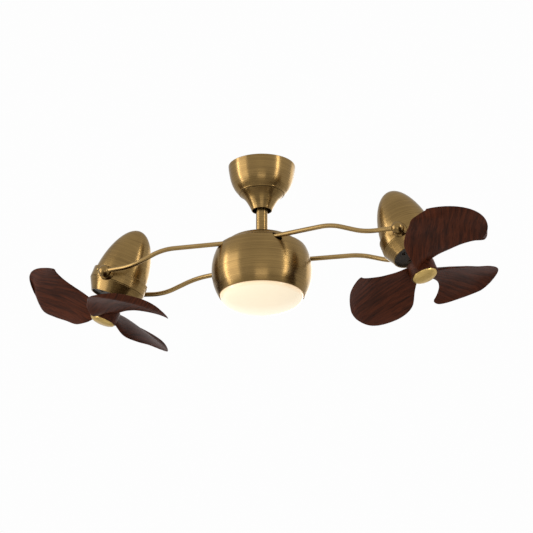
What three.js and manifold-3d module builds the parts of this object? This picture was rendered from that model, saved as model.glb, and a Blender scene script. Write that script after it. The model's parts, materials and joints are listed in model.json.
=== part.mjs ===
// Twin head ceiling fan with a globe light.
//
// A canopy at the ceiling hides a ball joint. A downrod hangs from the ball and carries a globe on
// a bearing. Four bent arms run out of the globe in two pairs, and each pair holds a fan head
// between two ball pivots, so that the head tilts. Each head is a bullet shaped motor housing with
// a three bladed wooden propeller on its nose.
//
// Millimetres. The origin is the centre of the mounting plate's ceiling face, +Z is up, and +X runs
// along the arms towards the right head. Everything lies below the origin.

import * as THREE from "three";
import { mergeVertices } from "three/addons/utils/BufferGeometryUtils.js";
import Module from "manifold-3d";

const wasm = await Module();
wasm.setup();

// ---------------------------------------------------------------- driving dimensions

// Overall layout
const GLOBE_DROP = 244; // ceiling to the globe's centre
const HEAD_REACH = 336; // fan's centre line to each head's tilt axis
const PIVOT_RISE = 20.6; // globe's centre up to the tilt axes
const RIGHT_TILT = 21; // lean of each head's axis from straight down, outwards, in degrees
const LEFT_TILT = 24;

// Gaps and walls
const FIT = 0.3; // between pieces that touch
const RUNNING = 0.5; // between pieces that turn on each other
const WALL = 1.5; // spun brass
const CAST_WALL = 3; // cast and turned brass

// Facets round a full turn
const FINE = 32;
const HEAD_SIDES = 26;
const HUB_SIDES = 24;
const ROUND = 20;
const SMALL = 10;

// Mounting plate, bracket and canopy
const PLATE_RADIUS = 66;
const PLATE_THICK = 3;
const CABLE_HOLE = 10; // radius
const CABLE_HOLE_Y = -24;
const CEILING_SLOT_OFFSET = 44;
const CEILING_SLOT_LENGTH = 22;
const CEILING_SLOT_WIDTH = 5.5;
const CANOPY_RADIUS = 72.5;
const BOWL_DEPTH = 65;
const WAIST_RADIUS = 48.5;
const CONE_DEPTH = 39;
const MOUTH_RADIUS = 21.8;
const CANOPY_STEP = 1.5; // the cone's top is this much smaller than the bowl's bottom
const STRAP_X = 36; // bracket legs, from the centre line
const STRAP_THICK = 2.5;
const STRAP_WIDTH = 26;
const BRACKET_RING = 43;
const CANOPY_SCREW_Y = 37;
const SCREW_SHANK = 2; // radius

// Ball joint and downrod
const BALL_DEPTH = 45; // ceiling to the ball's centre
const BALL_RADIUS = 21;
const BALL_TOP = 7; // flats above and below the ball's centre
const BALL_BOTTOM = 15;
const ROD_RADIUS = 12.5;
const ROD_BORE = 10;
const ROD_STANDS = 12; // how far the rod rises above the ball
const CROSS_PIN_RADIUS = 3.5;
const SEAT_OPENING = 17;

// Globe
const GLOBE_RADIUS = 108;
const LIGHT_PLANE = 57; // globe's centre down to its open edge
const LIP_WIDTH = 1.9;
const SHOULDER_HEIGHT = 56; // globe's centre up to the flat shoulder under the cap
const SHOULDER_ROUND = 14;
const SHELL_FLANGE = 74; // inner radius of the shoulder
const CAP_RADIUS = 80;
const CAP_RISE = 25;
const GLASS_RISE = 31; // how far the glass bulges below the globe
const GLASS_WALL = 3;

// Arms: height above the globe's centre and the points of one arm's centre line
const ARM_RADIUS = 5;
const ARM_BEND = 26; // length of tube that each bend takes on either side of its corner
const ARM_SOCKET_X = 20; // inner end, in its saddle
const ARM_SOCKET_Y = 67.6;
const ARM_RISE = 45.1;
const ARM_KNEE_X = 192.5;
const ARM_KNEE_OUT = 14.7; // further out than the pivot balls
const ARM_KNEE_RISE = 43.9;
const ARM_ELBOW_INSET = 69; // elbow, back from the tilt axis
const ARM_ELBOW_OUT = 11.1;
const ARM_ELBOW_RISE = 16.9;
const SLOT_WIDTH = 13;
const SLOT_HEIGHT = 19;

// Carriage inside the globe
const SPINDLE_RADIUS = 8;
const BEARING_OUTER = 15;
const BEARING_HEIGHT = 9;
const HOUSING_WALL = 4;
const CARRIAGE_PLATE_RADIUS = 84;
const SADDLE_X = 40;
const SADDLE_INNER_Y = 60;
const SADDLE_OUTER_Y = 75;
const LED_TRAY_RADIUS = 86;
const LED_TRAY_DROP = 38;
const LED_POST_RING = 55;

// Head, measured along its own axis from the tilt axis towards the propeller
const TAIL_LENGTH = 109;
const TAIL_RADIUS = 58;
const TAIL_FULLNESS = 1.6;
const COLLAR_BACK = 15; // seam with the tail, behind the tilt axis
const COLLAR_FRONT = 9.3; // ridge in front of it
const COLLAR_RADIUS = 62.5;
const NOSE_STEP = 0.4; // how far its back edge stands proud of the collar
const NOSE_FRONT = 36.5;
const NOSE_RADIUS = 49.5;
const NOSE_RECESS = 4.5;
const NOSE_PLATE = 2;
const VENT_RADIUS = 5;
const VENT_RING = 27;
const PIVOT_STAND = 14.8; // centre of each pivot ball, out from the collar
const PIVOT_Y = COLLAR_RADIUS + PIVOT_STAND;
const PIVOT_BALL = 13;
const PIVOT_PIN = 4;
const CUP_RADIUS = 16;
const CUP_RIM = 13.5;
const CUP_STAND = 7.5; // top of each cup, out from the collar
const CUP_TOP = COLLAR_RADIUS + CUP_STAND;
const COLLAR_SCREW_ANGLE = 28; // from the pivot towards the outer side, in degrees
const STATOR_RADIUS = 46;
const STATOR_BORE = 27.5;
const STATOR_HEIGHT = 20;
const STATOR_TEETH = 9;

// Propeller
const SHAFT_RADIUS = 6;
const HUB_BACK = 60;
const HUB_FRONT = 90;
const HUB_RADIUS = 30.5;
const HUB_ROUND = 4;
const HUB_RECESS = 5;
const NOSE_CAP_RADIUS = 28;
const NOSE_CAP_RISE = 9;
const BLADES = 3;
const BLADE_THICK = 8; // at the root
const TIP_THICK = 4;
const TIP_BULGE = 5; // of the tip's outline beyond the edges' ends
const BLADE_CUP = 6; // hollow of the face towards the room
const BLADE_STATIONS = 12;
const BLADE_ACROSS = 7;
const RIGHT_TURN = 17.5; // where each propeller has stopped, in degrees
const LEFT_TURN = -55;

// ---------------------------------------------------------------- derived places

const GLOBE_Z = -GLOBE_DROP;
const PIVOT_Z = GLOBE_Z + PIVOT_RISE;
const BALL_Z = -BALL_DEPTH;
const CONE_TOP_Z = -BOWL_DEPTH - FIT;
const CONE_BOTTOM_Z = -BOWL_DEPTH - CONE_DEPTH;
const BRACKET_RING_Z = -BOWL_DEPTH + WALL + FIT; // underside of the bracket's ring
const BRACKET_RING_THICK = 3;
const SHOULDER_Z = GLOBE_Z + SHOULDER_HEIGHT;
const CAP_Z = SHOULDER_Z + FIT;
const CAP_TOP_Z = CAP_Z + CAP_RISE;
const ROD_TOP_Z = BALL_Z + BALL_TOP + ROD_STANDS;
const ROD_BOTTOM_Z = CAP_TOP_Z - 12;
const ARM_Z = GLOBE_Z + ARM_RISE;
const PLATE_TOP_Z = ARM_Z - ARM_RADIUS - FIT;
const SADDLE_TOP_Z = SHOULDER_Z - WALL - FIT;
const LIGHT_Z = GLOBE_Z - LIGHT_PLANE;
const TRAY_Z = GLOBE_Z - LED_TRAY_DROP;
const NOSE_FLOOR = NOSE_FRONT - NOSE_RECESS; // front face of the recessed plate
const MOTOR_SEAT = NOSE_FLOOR - NOSE_PLATE - FIT;

// ---------------------------------------------------------------- solids

// A closed solid from a geometry. Only positions count, so corners that coincide are merged.
function solid(geometry) {
  const bare = new THREE.BufferGeometry();
  bare.setAttribute("position", geometry.getAttribute("position"));
  if (geometry.index) bare.setIndex(geometry.index);
  const merged = mergeVertices(bare, 1e-4);
  const corners = merged.index.array;
  const kept = [];
  for (let i = 0; i < corners.length; i += 3) {
    const [a, b, c] = corners.slice(i, i + 3);
    if (a !== b && b !== c && c !== a) kept.push(a, b, c);
  }
  return new wasm.Manifold(
    new wasm.Mesh({
      numProp: 3,
      vertProperties: merged.attributes.position.array,
      triVerts: new Uint32Array(kept),
    }),
  );
}

// The solid as a geometry with one normal to each facet.
function faceted(body) {
  const mesh = body.getMesh();
  const shared = new THREE.BufferGeometry();
  shared.setAttribute("position", new THREE.BufferAttribute(mesh.vertProperties, 3));
  shared.setIndex(new THREE.BufferAttribute(mesh.triVerts, 1));
  const geometry = shared.toNonIndexed();
  geometry.computeVertexNormals();
  return geometry;
}

// A profile of [radius, height] pairs turned about Z. It closes on itself or on the axis.
function turned(profile, sides = ROUND) {
  const points = profile.map(([r, z]) => new THREE.Vector2(r, z));
  if (THREE.ShapeUtils.area(points) < 0) points.reverse();
  const onAxis = points[0].x === 0 && points[points.length - 1].x === 0;
  if (!onAxis) points.push(points[0].clone());
  return solid(new THREE.LatheGeometry(points, sides).rotateX(Math.PI / 2));
}

// A plate of the given outline, from one height up to another.
function plate(shape, bottom, top, sides = 8) {
  const extruded = new THREE.ExtrudeGeometry(shape, {
    depth: top - bottom,
    bevelEnabled: false,
    curveSegments: sides,
  });
  return solid(extruded.translate(0, 0, bottom));
}

function block(low, high) {
  const size = high.map((value, i) => value - low[i]);
  const middle = high.map((value, i) => (value + low[i]) / 2);
  return solid(new THREE.BoxGeometry(...size).translate(...middle));
}

// A round bar along Z.
function bar(radius, bottom, top, sides = ROUND) {
  return turned([[0, bottom], [radius, bottom], [radius, top], [0, top]], sides);
}

function pipe(inner, outer, bottom, top, sides = ROUND) {
  return turned([[inner, bottom], [outer, bottom], [outer, top], [inner, top]], sides);
}

function ball(radius, around = 16, up = 10) {
  return solid(new THREE.SphereGeometry(radius, around, up).rotateX(Math.PI / 2));
}

// Points of a circular arc in a profile, from one angle to another in degrees.
function arc(r, z, radius, from, to, steps) {
  return Array.from({ length: steps + 1 }, (_, i) => {
    const angle = THREE.MathUtils.degToRad(from + ((to - from) * i) / steps);
    return [r + radius * Math.cos(angle), z + radius * Math.sin(angle)];
  });
}

// A smooth profile through a few [across, along] fractions between two radii and two heights.
function sweepProfile(fractions, fromRadius, toRadius, fromZ, toZ, steps) {
  const curve = new THREE.SplineCurve(
    fractions.map(
      ([along, across]) =>
        new THREE.Vector2(
          toRadius + (fromRadius - toRadius) * across,
          fromZ + (toZ - fromZ) * along,
        ),
    ),
  );
  return curve.getPoints(steps).map((point) => [point.x, point.y]);
}

// A wall of even width behind an outer profile, closed along its inside.
function shell(outer, wall) {
  const inner = outer.filter((_, i) => i % 2 === 0).map(([r, z]) => [r - wall, z]);
  return [...outer, ...inner.reverse()];
}

// A solid rod of round section along a curve.
function tube(curve, radius, sides, steps) {
  const section = new THREE.Shape();
  for (let i = 0; i < sides; i += 1) {
    const angle = (2 * Math.PI * i) / sides;
    section[i ? "lineTo" : "moveTo"](radius * Math.cos(angle), radius * Math.sin(angle));
  }
  return solid(new THREE.ExtrudeGeometry(section, { steps, extrudePath: curve, bevelEnabled: false }));
}

// A pan head screw that points up, its head's underside at the height 0.
function screw(headRadius, headHeight, shankRadius, length) {
  const body = turned(
    [
      [0, -headHeight],
      [headRadius * 0.7, -headHeight],
      [headRadius, -headHeight * 0.45],
      [headRadius, 0],
      [shankRadius, 0],
      [shankRadius, length],
      [0, length],
    ],
    SMALL,
  );
  const slot = block([-headRadius, -0.5, -headHeight - 1], [headRadius, 0.5, -headHeight * 0.5]);
  return body.subtract(slot);
}

// ---------------------------------------------------------------- finishes

const finishes = {
  brass: { color: 0x9a7b45, roughness: 0.34, metalness: 1 },
  gold: { color: 0xc9a552, roughness: 0.3, metalness: 1 },
  walnut: { color: 0x3c1c14, roughness: 0.45, metalness: 0 },
  glass: { color: 0xfff0cd, roughness: 0.5, metalness: 0, emissive: 0xffe6b4, emissiveIntensity: 0.6 },
  steel: { color: 0xa9abad, roughness: 0.4, metalness: 1 },
  aluminium: { color: 0xc4c6c8, roughness: 0.45, metalness: 1 },
  copper: { color: 0x8a4f2c, roughness: 0.5, metalness: 0.8 },
  board: { color: 0xe9ebe6, roughness: 0.6, metalness: 0 },
  black: { color: 0x1c1c1e, roughness: 0.6, metalness: 0 },
};

function piece(parent, name, body, finish) {
  const mesh = new THREE.Mesh(faceted(body), new THREE.MeshStandardMaterial(finishes[finish]));
  mesh.name = name;
  parent.add(mesh);
  return mesh;
}

// ---------------------------------------------------------------- ceiling end

function mountingPlate() {
  const outline = new THREE.Shape().absarc(0, 0, PLATE_RADIUS, 0, 2 * Math.PI);
  outline.holes.push(new THREE.Path().absarc(0, CABLE_HOLE_Y, CABLE_HOLE, 0, 2 * Math.PI, true));
  const half = (CEILING_SLOT_LENGTH - CEILING_SLOT_WIDTH) / 2;
  const end = CEILING_SLOT_WIDTH / 2;
  for (const y of [-CEILING_SLOT_OFFSET, CEILING_SLOT_OFFSET]) {
    const slot = new THREE.Path();
    slot.absarc(half, y, end, -Math.PI / 2, Math.PI / 2);
    slot.absarc(-half, y, end, Math.PI / 2, (3 * Math.PI) / 2);
    outline.holes.push(slot);
  }
  return plate(outline, -PLATE_THICK, 0);
}

// Two legs under the plate carry a ring with a round seat for the hanger ball.
function hangerBracket() {
  const top = -PLATE_THICK - FIT;
  const ringTop = BRACKET_RING_Z + BRACKET_RING_THICK;
  const seatTop = BALL_Z - 5;
  let body = turned(
    [
      [SEAT_OPENING - 6, BRACKET_RING_Z],
      [BRACKET_RING, BRACKET_RING_Z],
      [BRACKET_RING, ringTop],
      [BALL_RADIUS + 7, ringTop],
      [BALL_RADIUS + 4, seatTop],
      [SEAT_OPENING - 6, seatTop],
    ],
    ROUND,
  );
  body = body.subtract(ball(BALL_RADIUS + FIT + 0.1).translate(0, 0, BALL_Z));
  body = body.subtract(bar(SEAT_OPENING, BRACKET_RING_Z - 1, seatTop + 1));
  for (const side of [-1, 1]) {
    const outer = side * (STRAP_X + STRAP_THICK);
    const inner = side * STRAP_X;
    const foot = side * (STRAP_X + 16);
    const span = (a, b, low, high) =>
      block(
        [Math.min(a, b), -STRAP_WIDTH / 2, low],
        [Math.max(a, b), STRAP_WIDTH / 2, high],
      );
    body = body.add(span(inner, outer, BRACKET_RING_Z, top));
    body = body.add(span(inner, foot, top - STRAP_THICK, top));
  }
  for (const y of [-CANOPY_SCREW_Y, CANOPY_SCREW_Y]) {
    const hole = bar(SCREW_SHANK + FIT, BRACKET_RING_Z - 1, ringTop + 1, SMALL);
    body = body.subtract(hole.translate(0, y, 0));
  }
  return body;
}

// Upper canopy: a deep bowl whose floor is screwed up to the bracket's ring.
function canopyBowl() {
  const outer = sweepProfile(
    [[0, 1], [0.18, 0.955], [0.52, 0.77], [0.785, 0.46], [1, 0]],
    CANOPY_RADIUS,
    WAIST_RADIUS,
    0,
    -BOWL_DEPTH,
    8,
  );
  const inner = outer
    .filter(([, z], i) => i % 2 === 0 && z > -BOWL_DEPTH + WALL + 1)
    .map(([r, z]) => [r - WALL, z])
    .reverse();
  const floorEdge = inner[0][0] - 1.5;
  const hole = BALL_RADIUS + 9;
  const floor = [
    [hole, -BOWL_DEPTH],
    [hole, -BOWL_DEPTH + WALL],
    [floorEdge, -BOWL_DEPTH + WALL],
  ];
  let body = turned([...outer, ...floor, ...inner], FINE);
  for (const y of [-CANOPY_SCREW_Y, CANOPY_SCREW_Y]) {
    const screwHole = bar(SCREW_SHANK + FIT, -BOWL_DEPTH - 1, -BOWL_DEPTH + WALL + 1, SMALL);
    body = body.subtract(screwHole.translate(0, y, 0));
  }
  return body;
}

// Lower canopy: a flared cone that covers the screws and leaves a wide mouth round the rod.
function canopyCone() {
  const outer = sweepProfile(
    [[0, 1], [0.2, 0.7], [0.41, 0.456], [0.77, 0.15], [1, 0]],
    WAIST_RADIUS - CANOPY_STEP,
    MOUTH_RADIUS,
    CONE_TOP_Z,
    CONE_BOTTOM_Z,
    6,
  );
  return turned(shell(outer, WALL), FINE);
}

function receiverBox() {
  const top = -PLATE_THICK - FIT;
  const body = block([-28, 19, top - 22], [28, 43, top]);
  const label = block([-22, 18, top - 18], [22, 19.6, top - 5]);
  return body.subtract(label);
}

// ---------------------------------------------------------------- hanger

function hangerBall() {
  const keep = block(
    [-BALL_RADIUS - 1, -BALL_RADIUS - 1, BALL_Z - BALL_BOTTOM],
    [BALL_RADIUS + 1, BALL_RADIUS + 1, BALL_Z + BALL_TOP],
  );
  const bore = bar(ROD_RADIUS + FIT, BALL_Z - BALL_RADIUS, BALL_Z + BALL_RADIUS);
  const groove = bar(CROSS_PIN_RADIUS + FIT, -BALL_RADIUS - 1, BALL_RADIUS + 1, SMALL)
    .rotate(0, 90, 0)
    .translate(0, 0, BALL_Z + BALL_TOP);
  return ball(BALL_RADIUS).translate(0, 0, BALL_Z).intersect(keep).subtract(bore).subtract(groove);
}

function downrod() {
  const pinHole = bar(CROSS_PIN_RADIUS + FIT, -ROD_RADIUS - 1, ROD_RADIUS + 1, SMALL)
    .rotate(0, 90, 0)
    .translate(0, 0, BALL_Z + BALL_TOP);
  return pipe(ROD_BORE, ROD_RADIUS, ROD_BOTTOM_Z, ROD_TOP_Z).subtract(pinHole);
}

function crossPin() {
  const half = BALL_RADIUS - 3;
  return bar(CROSS_PIN_RADIUS, -half, half, SMALL)
    .rotate(0, 90, 0)
    .translate(0, 0, BALL_Z + BALL_TOP);
}

const BEARING_TOP_Z = PLATE_TOP_Z + 14;
const BEARING_BOTTOM_Z = BEARING_TOP_Z - BEARING_HEIGHT;
const NUT_HEIGHT = 7;
const NUT_TOP_Z = BEARING_BOTTOM_Z - FIT;

// Turned spindle that plugs into the rod's lower end and runs through the bearing.
function bearingSpindle() {
  const plugTop = ROD_BOTTOM_Z + 22;
  const flangeTop = ROD_BOTTOM_Z - FIT;
  const flangeBottom = flangeTop - 4;
  const end = NUT_TOP_Z - NUT_HEIGHT - 4;
  return turned([
    [0, end],
    [SPINDLE_RADIUS, end],
    [SPINDLE_RADIUS, flangeBottom],
    [ROD_RADIUS, flangeBottom],
    [ROD_RADIUS, flangeTop],
    [ROD_BORE - FIT, flangeTop],
    [ROD_BORE - FIT, plugTop],
    [0, plugTop],
  ]);
}

function spindleNut() {
  const hexagon = turned(
    [
      [SPINDLE_RADIUS + FIT, NUT_TOP_Z - NUT_HEIGHT],
      [13, NUT_TOP_Z - NUT_HEIGHT],
      [13, NUT_TOP_Z],
      [SPINDLE_RADIUS + FIT, NUT_TOP_Z],
    ],
    6,
  );
  return hexagon.subtract(bar(SPINDLE_RADIUS + FIT, NUT_TOP_Z - NUT_HEIGHT - 1, NUT_TOP_Z + 1));
}

// ---------------------------------------------------------------- carriage and globe

function carriageBearing() {
  return pipe(SPINDLE_RADIUS + FIT, BEARING_OUTER, BEARING_BOTTOM_Z, BEARING_TOP_Z);
}

// Flanged hub that hangs on the bearing and carries the plate.
function bearingHousing() {
  const bore = BEARING_OUTER + FIT;
  const outer = bore + HOUSING_WALL;
  const ledge = BEARING_TOP_Z + FIT;
  const bottom = PLATE_TOP_Z + FIT;
  const flangeTop = bottom + 4;
  return turned([
    [bore, bottom],
    [outer + 15, bottom],
    [outer + 15, flangeTop],
    [outer, flangeTop + 2],
    [outer, ledge + 4],
    [SPINDLE_RADIUS + 3, ledge + 4],
    [SPINDLE_RADIUS + 3, ledge],
    [bore, ledge],
  ]);
}

// Centre line of the arm in one quarter of the fan.
function armPath(sideX, sideY) {
  const corner = (x, y, rise) => new THREE.Vector3(sideX * x, sideY * y, GLOBE_Z + rise);
  const inner = corner(ARM_SOCKET_X, ARM_SOCKET_Y, ARM_RISE);
  const knee = corner(ARM_KNEE_X, PIVOT_Y + ARM_KNEE_OUT, ARM_KNEE_RISE);
  const elbow = corner(HEAD_REACH - ARM_ELBOW_INSET, PIVOT_Y + ARM_ELBOW_OUT, ARM_ELBOW_RISE);
  const end = corner(HEAD_REACH, PIVOT_Y, PIVOT_RISE);
  const towards = (from, to, distance) =>
    from.clone().add(to.clone().sub(from).setLength(distance));
  const path = new THREE.CurvePath();
  const kneeIn = towards(knee, inner, ARM_BEND);
  const kneeOut = towards(knee, elbow, ARM_BEND);
  const elbowIn = towards(elbow, knee, ARM_BEND);
  const elbowOut = towards(elbow, end, ARM_BEND);
  path.add(new THREE.LineCurve3(inner, kneeIn));
  path.add(new THREE.QuadraticBezierCurve3(kneeIn, knee, kneeOut));
  path.add(new THREE.LineCurve3(kneeOut, elbowIn));
  path.add(new THREE.QuadraticBezierCurve3(elbowIn, elbow, elbowOut));
  path.add(new THREE.LineCurve3(elbowOut, end));
  return path;
}

function arm(sideX, sideY) {
  const socket = ball(PIVOT_BALL + FIT).translate(sideX * HEAD_REACH, sideY * PIVOT_Y, PIVOT_Z);
  return tube(armPath(sideX, sideY), ARM_RADIUS, 8, 26).subtract(socket);
}

// The straight run of an arm inside the globe, widened by a clearance.
function armClearance(sideX, sideY, radius) {
  const path = armPath(sideX, sideY).curves[0];
  const direction = path.v2.clone().sub(path.v1).normalize();
  const start = path.v1.clone().addScaledVector(direction, -2);
  return tube(new THREE.LineCurve3(start, path.v2), radius, 8, 1);
}

// Plate with a saddle for each pair of arm ends and two posts under the globe's shoulder.
function carriagePlate() {
  const bottom = PLATE_TOP_Z - CAST_WALL;
  const outline = new THREE.Shape().absarc(0, 0, CARRIAGE_PLATE_RADIUS, 0, 2 * Math.PI);
  const centreHole = BEARING_OUTER + 3;
  outline.holes.push(new THREE.Path().absarc(0, 0, centreHole, 0, 2 * Math.PI, true));
  for (const x of [-52, 52]) {
    outline.holes.push(new THREE.Path().absarc(x, 0, 9, 0, 2 * Math.PI, true));
  }
  let body = plate(outline, bottom, PLATE_TOP_Z);
  for (const side of [-1, 1]) {
    const low = Math.min(side * SADDLE_INNER_Y, side * SADDLE_OUTER_Y);
    const high = Math.max(side * SADDLE_INNER_Y, side * SADDLE_OUTER_Y);
    body = body.add(block([-SADDLE_X, low, bottom], [SADDLE_X, high, SADDLE_TOP_Z]));
    const post = bar(3.5, bottom, SADDLE_TOP_Z, SMALL);
    body = body.add(post.translate(side * (SHELL_FLANGE + 2.5), 0, 0));
  }
  for (const sideX of [-1, 1]) {
    for (const sideY of [-1, 1]) {
      body = body.subtract(armClearance(sideX, sideY, ARM_RADIUS + FIT));
    }
  }
  return body;
}

// The globe is a sphere with a rounded flat shoulder on top and a wide round opening below.
function globeShell() {
  const profile = (radius, shoulder, round, steps) => {
    const centreZ = shoulder - round;
    const centreR = Math.sqrt((radius - round) ** 2 - centreZ ** 2);
    const meet = THREE.MathUtils.radToDeg(Math.atan2(centreZ, centreR));
    const low = -THREE.MathUtils.radToDeg(Math.asin(LIGHT_PLANE / radius));
    return {
      sphere: arc(0, GLOBE_Z, radius, low, meet, steps),
      round: arc(centreR, GLOBE_Z + centreZ, round, meet, 90, 3).slice(1),
    };
  };
  const outside = profile(GLOBE_RADIUS, SHOULDER_HEIGHT, SHOULDER_ROUND, 11);
  const inside = profile(GLOBE_RADIUS - WALL, SHOULDER_HEIGHT - WALL, SHOULDER_ROUND - WALL, 6);
  const lip = outside.sphere[0][0] - LIP_WIDTH;
  const lipTop = LIGHT_Z + WALL;
  const innerWall = inside.sphere.filter(([, z]) => z > lipTop + 1);
  let body = turned(
    [
      [lip, LIGHT_Z],
      ...outside.sphere,
      ...outside.round,
      [SHELL_FLANGE, SHOULDER_Z],
      [SHELL_FLANGE, SHOULDER_Z - WALL],
      ...inside.round.reverse(),
      ...innerWall.reverse(),
      [lip + 0.6, lipTop],
      [lip, lipTop],
    ],
    FINE,
  );
  for (const sideX of [-1, 1]) {
    for (const sideY of [-1, 1]) {
      body = body.subtract(armSlot(sideX, sideY));
    }
  }
  return body;
}

// An upright slot with round ends, along one arm's inner run.
function armSlot(sideX, sideY) {
  const { v1, v2 } = armPath(sideX, sideY).curves[0];
  const half = SLOT_WIDTH / 2;
  const straight = SLOT_HEIGHT / 2 - half;
  const outline = new THREE.Shape();
  outline.absarc(0, straight, half, 0, Math.PI);
  outline.absarc(0, -straight, half, Math.PI, 2 * Math.PI);
  const heading = THREE.MathUtils.radToDeg(Math.atan2(v2.y - v1.y, v2.x - v1.x));
  const middle = GLOBE_Z + SHOULDER_HEIGHT - WALL - 1.5 - SLOT_HEIGHT / 2;
  return plate(outline, SADDLE_X + 8, GLOBE_RADIUS, 5)
    .rotate(90, 0, 90)
    .rotate(0, 0, heading)
    .translate(v1.x - Math.sign(sideX) * ARM_SOCKET_X, v1.y, middle)
    .translate(0, -Math.tan(THREE.MathUtils.degToRad(heading)) * ARM_SOCKET_X * sideX, 0);
}

function globeCap() {
  const dome = (radius, rise, steps) => {
    const hole = ROD_RADIUS + RUNNING;
    const end = Math.acos(hole / radius);
    return Array.from({ length: steps + 1 }, (_, i) => {
      const angle = (end * i) / steps;
      return [radius * Math.cos(angle), CAP_Z + rise * Math.sin(angle)];
    });
  };
  const outside = dome(CAP_RADIUS, CAP_RISE, 7);
  const inside = dome(CAP_RADIUS - WALL, CAP_RISE - WALL, 4);
  return turned([...outside, ...inside.reverse()], FINE);
}

// Dished tray on three posts under the carriage plate. It holds the light and cools it.
function ledTray() {
  const rim = 6;
  let body = turned([
    [0, TRAY_Z - 2],
    [LED_TRAY_RADIUS, TRAY_Z - 2],
    [LED_TRAY_RADIUS, TRAY_Z + rim],
    [LED_TRAY_RADIUS - 2, TRAY_Z + rim],
    [LED_TRAY_RADIUS - 2, TRAY_Z],
    [0, TRAY_Z],
  ]);
  for (let i = 0; i < 3; i += 1) {
    const post = bar(4, TRAY_Z - 1, PLATE_TOP_Z - CAST_WALL - FIT, SMALL);
    body = body.add(post.translate(0, LED_POST_RING, 0).rotate(0, 0, 120 * i));
  }
  return body;
}

function ledBoard() {
  const top = TRAY_Z - 2 - FIT;
  let body = bar(78, top - 1.6, top);
  for (let i = 0; i < 12; i += 1) {
    const chip = block([48, -3, top - 2.6], [54, 3, top - 1]);
    body = body.add(chip.rotate(0, 0, 30 * i));
  }
  return body;
}

function ledDriver() {
  return block([-40, -21, TRAY_Z + FIT], [40, 21, TRAY_Z + 24]);
}

// Opal glass: a flange inside the globe's lip and a shallow dome below it.
function diffuser() {
  const lipTop = LIGHT_Z + WALL;
  const opening = Math.sqrt(GLOBE_RADIUS ** 2 - LIGHT_PLANE ** 2) - LIP_WIDTH;
  const edge = opening - RUNNING;
  const flange = edge + 1.2;
  const flangeZ = lipTop + FIT;
  const dome = (radius, rise, steps) =>
    Array.from({ length: steps + 1 }, (_, i) => {
      const angle = (Math.PI / 2) * (1 - i / steps);
      return [i === 0 ? 0 : radius * Math.cos(angle), LIGHT_Z - rise * Math.sin(angle)];
    });
  const outside = dome(edge, GLASS_RISE, 7);
  const inside = dome(edge - GLASS_WALL, GLASS_RISE - GLASS_WALL, 5).reverse();
  return turned(
    [
      ...outside,
      [edge, flangeZ],
      [flange, flangeZ],
      [flange, flangeZ + 2],
      [edge - GLASS_WALL, flangeZ + 2],
      ...inside,
    ],
    FINE,
  );
}

// Ball on an arm's end, with the pin that the head tilts on. The pin points along -Y.
function pivotBall() {
  const pinEnd = PIVOT_Y - COLLAR_RADIUS + CAST_WALL + 4;
  const pin = bar(PIVOT_PIN, 0, pinEnd, SMALL).rotate(90, 0, 0);
  return ball(PIVOT_BALL).add(pin);
}

// ---------------------------------------------------------------- head

// The bullet's radius at a distance along its length, measured from its open end.
function bulletRadius(distance, length, radius) {
  return radius * Math.sqrt(1 - (distance / length) ** TAIL_FULLNESS);
}

function tailShell() {
  const side = (radius, length, steps) =>
    Array.from({ length: steps + 1 }, (_, i) => {
      const distance = length * Math.sin(((Math.PI / 2) * i) / steps);
      const last = i === steps;
      return [last ? 0 : bulletRadius(distance, length, radius), -COLLAR_BACK - distance];
    });
  const outside = side(TAIL_RADIUS, TAIL_LENGTH, 9);
  const inside = side(TAIL_RADIUS - WALL, TAIL_LENGTH - WALL, 5);
  const tuck = -COLLAR_BACK + 4;
  return turned(
    [
      ...outside.slice().reverse(),
      [TAIL_RADIUS, tuck],
      [TAIL_RADIUS - WALL, tuck],
      ...inside,
    ],
    HEAD_SIDES,
  );
}

// Heavy ring that carries the pivots, with a ledge that the tail seats on.
function motorCollar() {
  const socket = TAIL_RADIUS + FIT;
  const seat = -COLLAR_BACK + 4 + FIT;
  const wall = COLLAR_RADIUS - CAST_WALL;
  let body = turned(
    [
      [socket, -COLLAR_BACK],
      [COLLAR_RADIUS - 0.8, -COLLAR_BACK],
      [COLLAR_RADIUS, -COLLAR_BACK + 0.8],
      [COLLAR_RADIUS, COLLAR_FRONT],
      [wall, COLLAR_FRONT],
      [wall, seat + 3.5],
      [STATOR_RADIUS + 6, seat + 3.5],
      [STATOR_RADIUS + 6, seat],
      [socket, seat],
    ],
    HEAD_SIDES,
  );
  const pinHole = bar(PIVOT_PIN + FIT, -COLLAR_RADIUS - 5, COLLAR_RADIUS + 5, SMALL);
  body = body.subtract(pinHole.rotate(90, 0, 0));
  for (const side of [-1, 1]) {
    body = body.subtract(onCollar(bar(1.8, COLLAR_RADIUS - 8, COLLAR_RADIUS + 5, SMALL), side));
  }
  return body;
}

// Turns what points along +Z to point out of the collar at one of its two screw places.
function onCollar(body, side) {
  const turn = side * (90 - COLLAR_SCREW_ANGLE);
  return body.rotate(0, 90, 0).rotate(0, 0, turn).translate(0, 0, -4);
}

function collarScrew(side) {
  const shank = screw(2.6, 1.6, 1.5, 6).rotate(180, 0, 0).translate(0, 0, COLLAR_RADIUS + FIT);
  return onCollar(shank, side);
}

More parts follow.
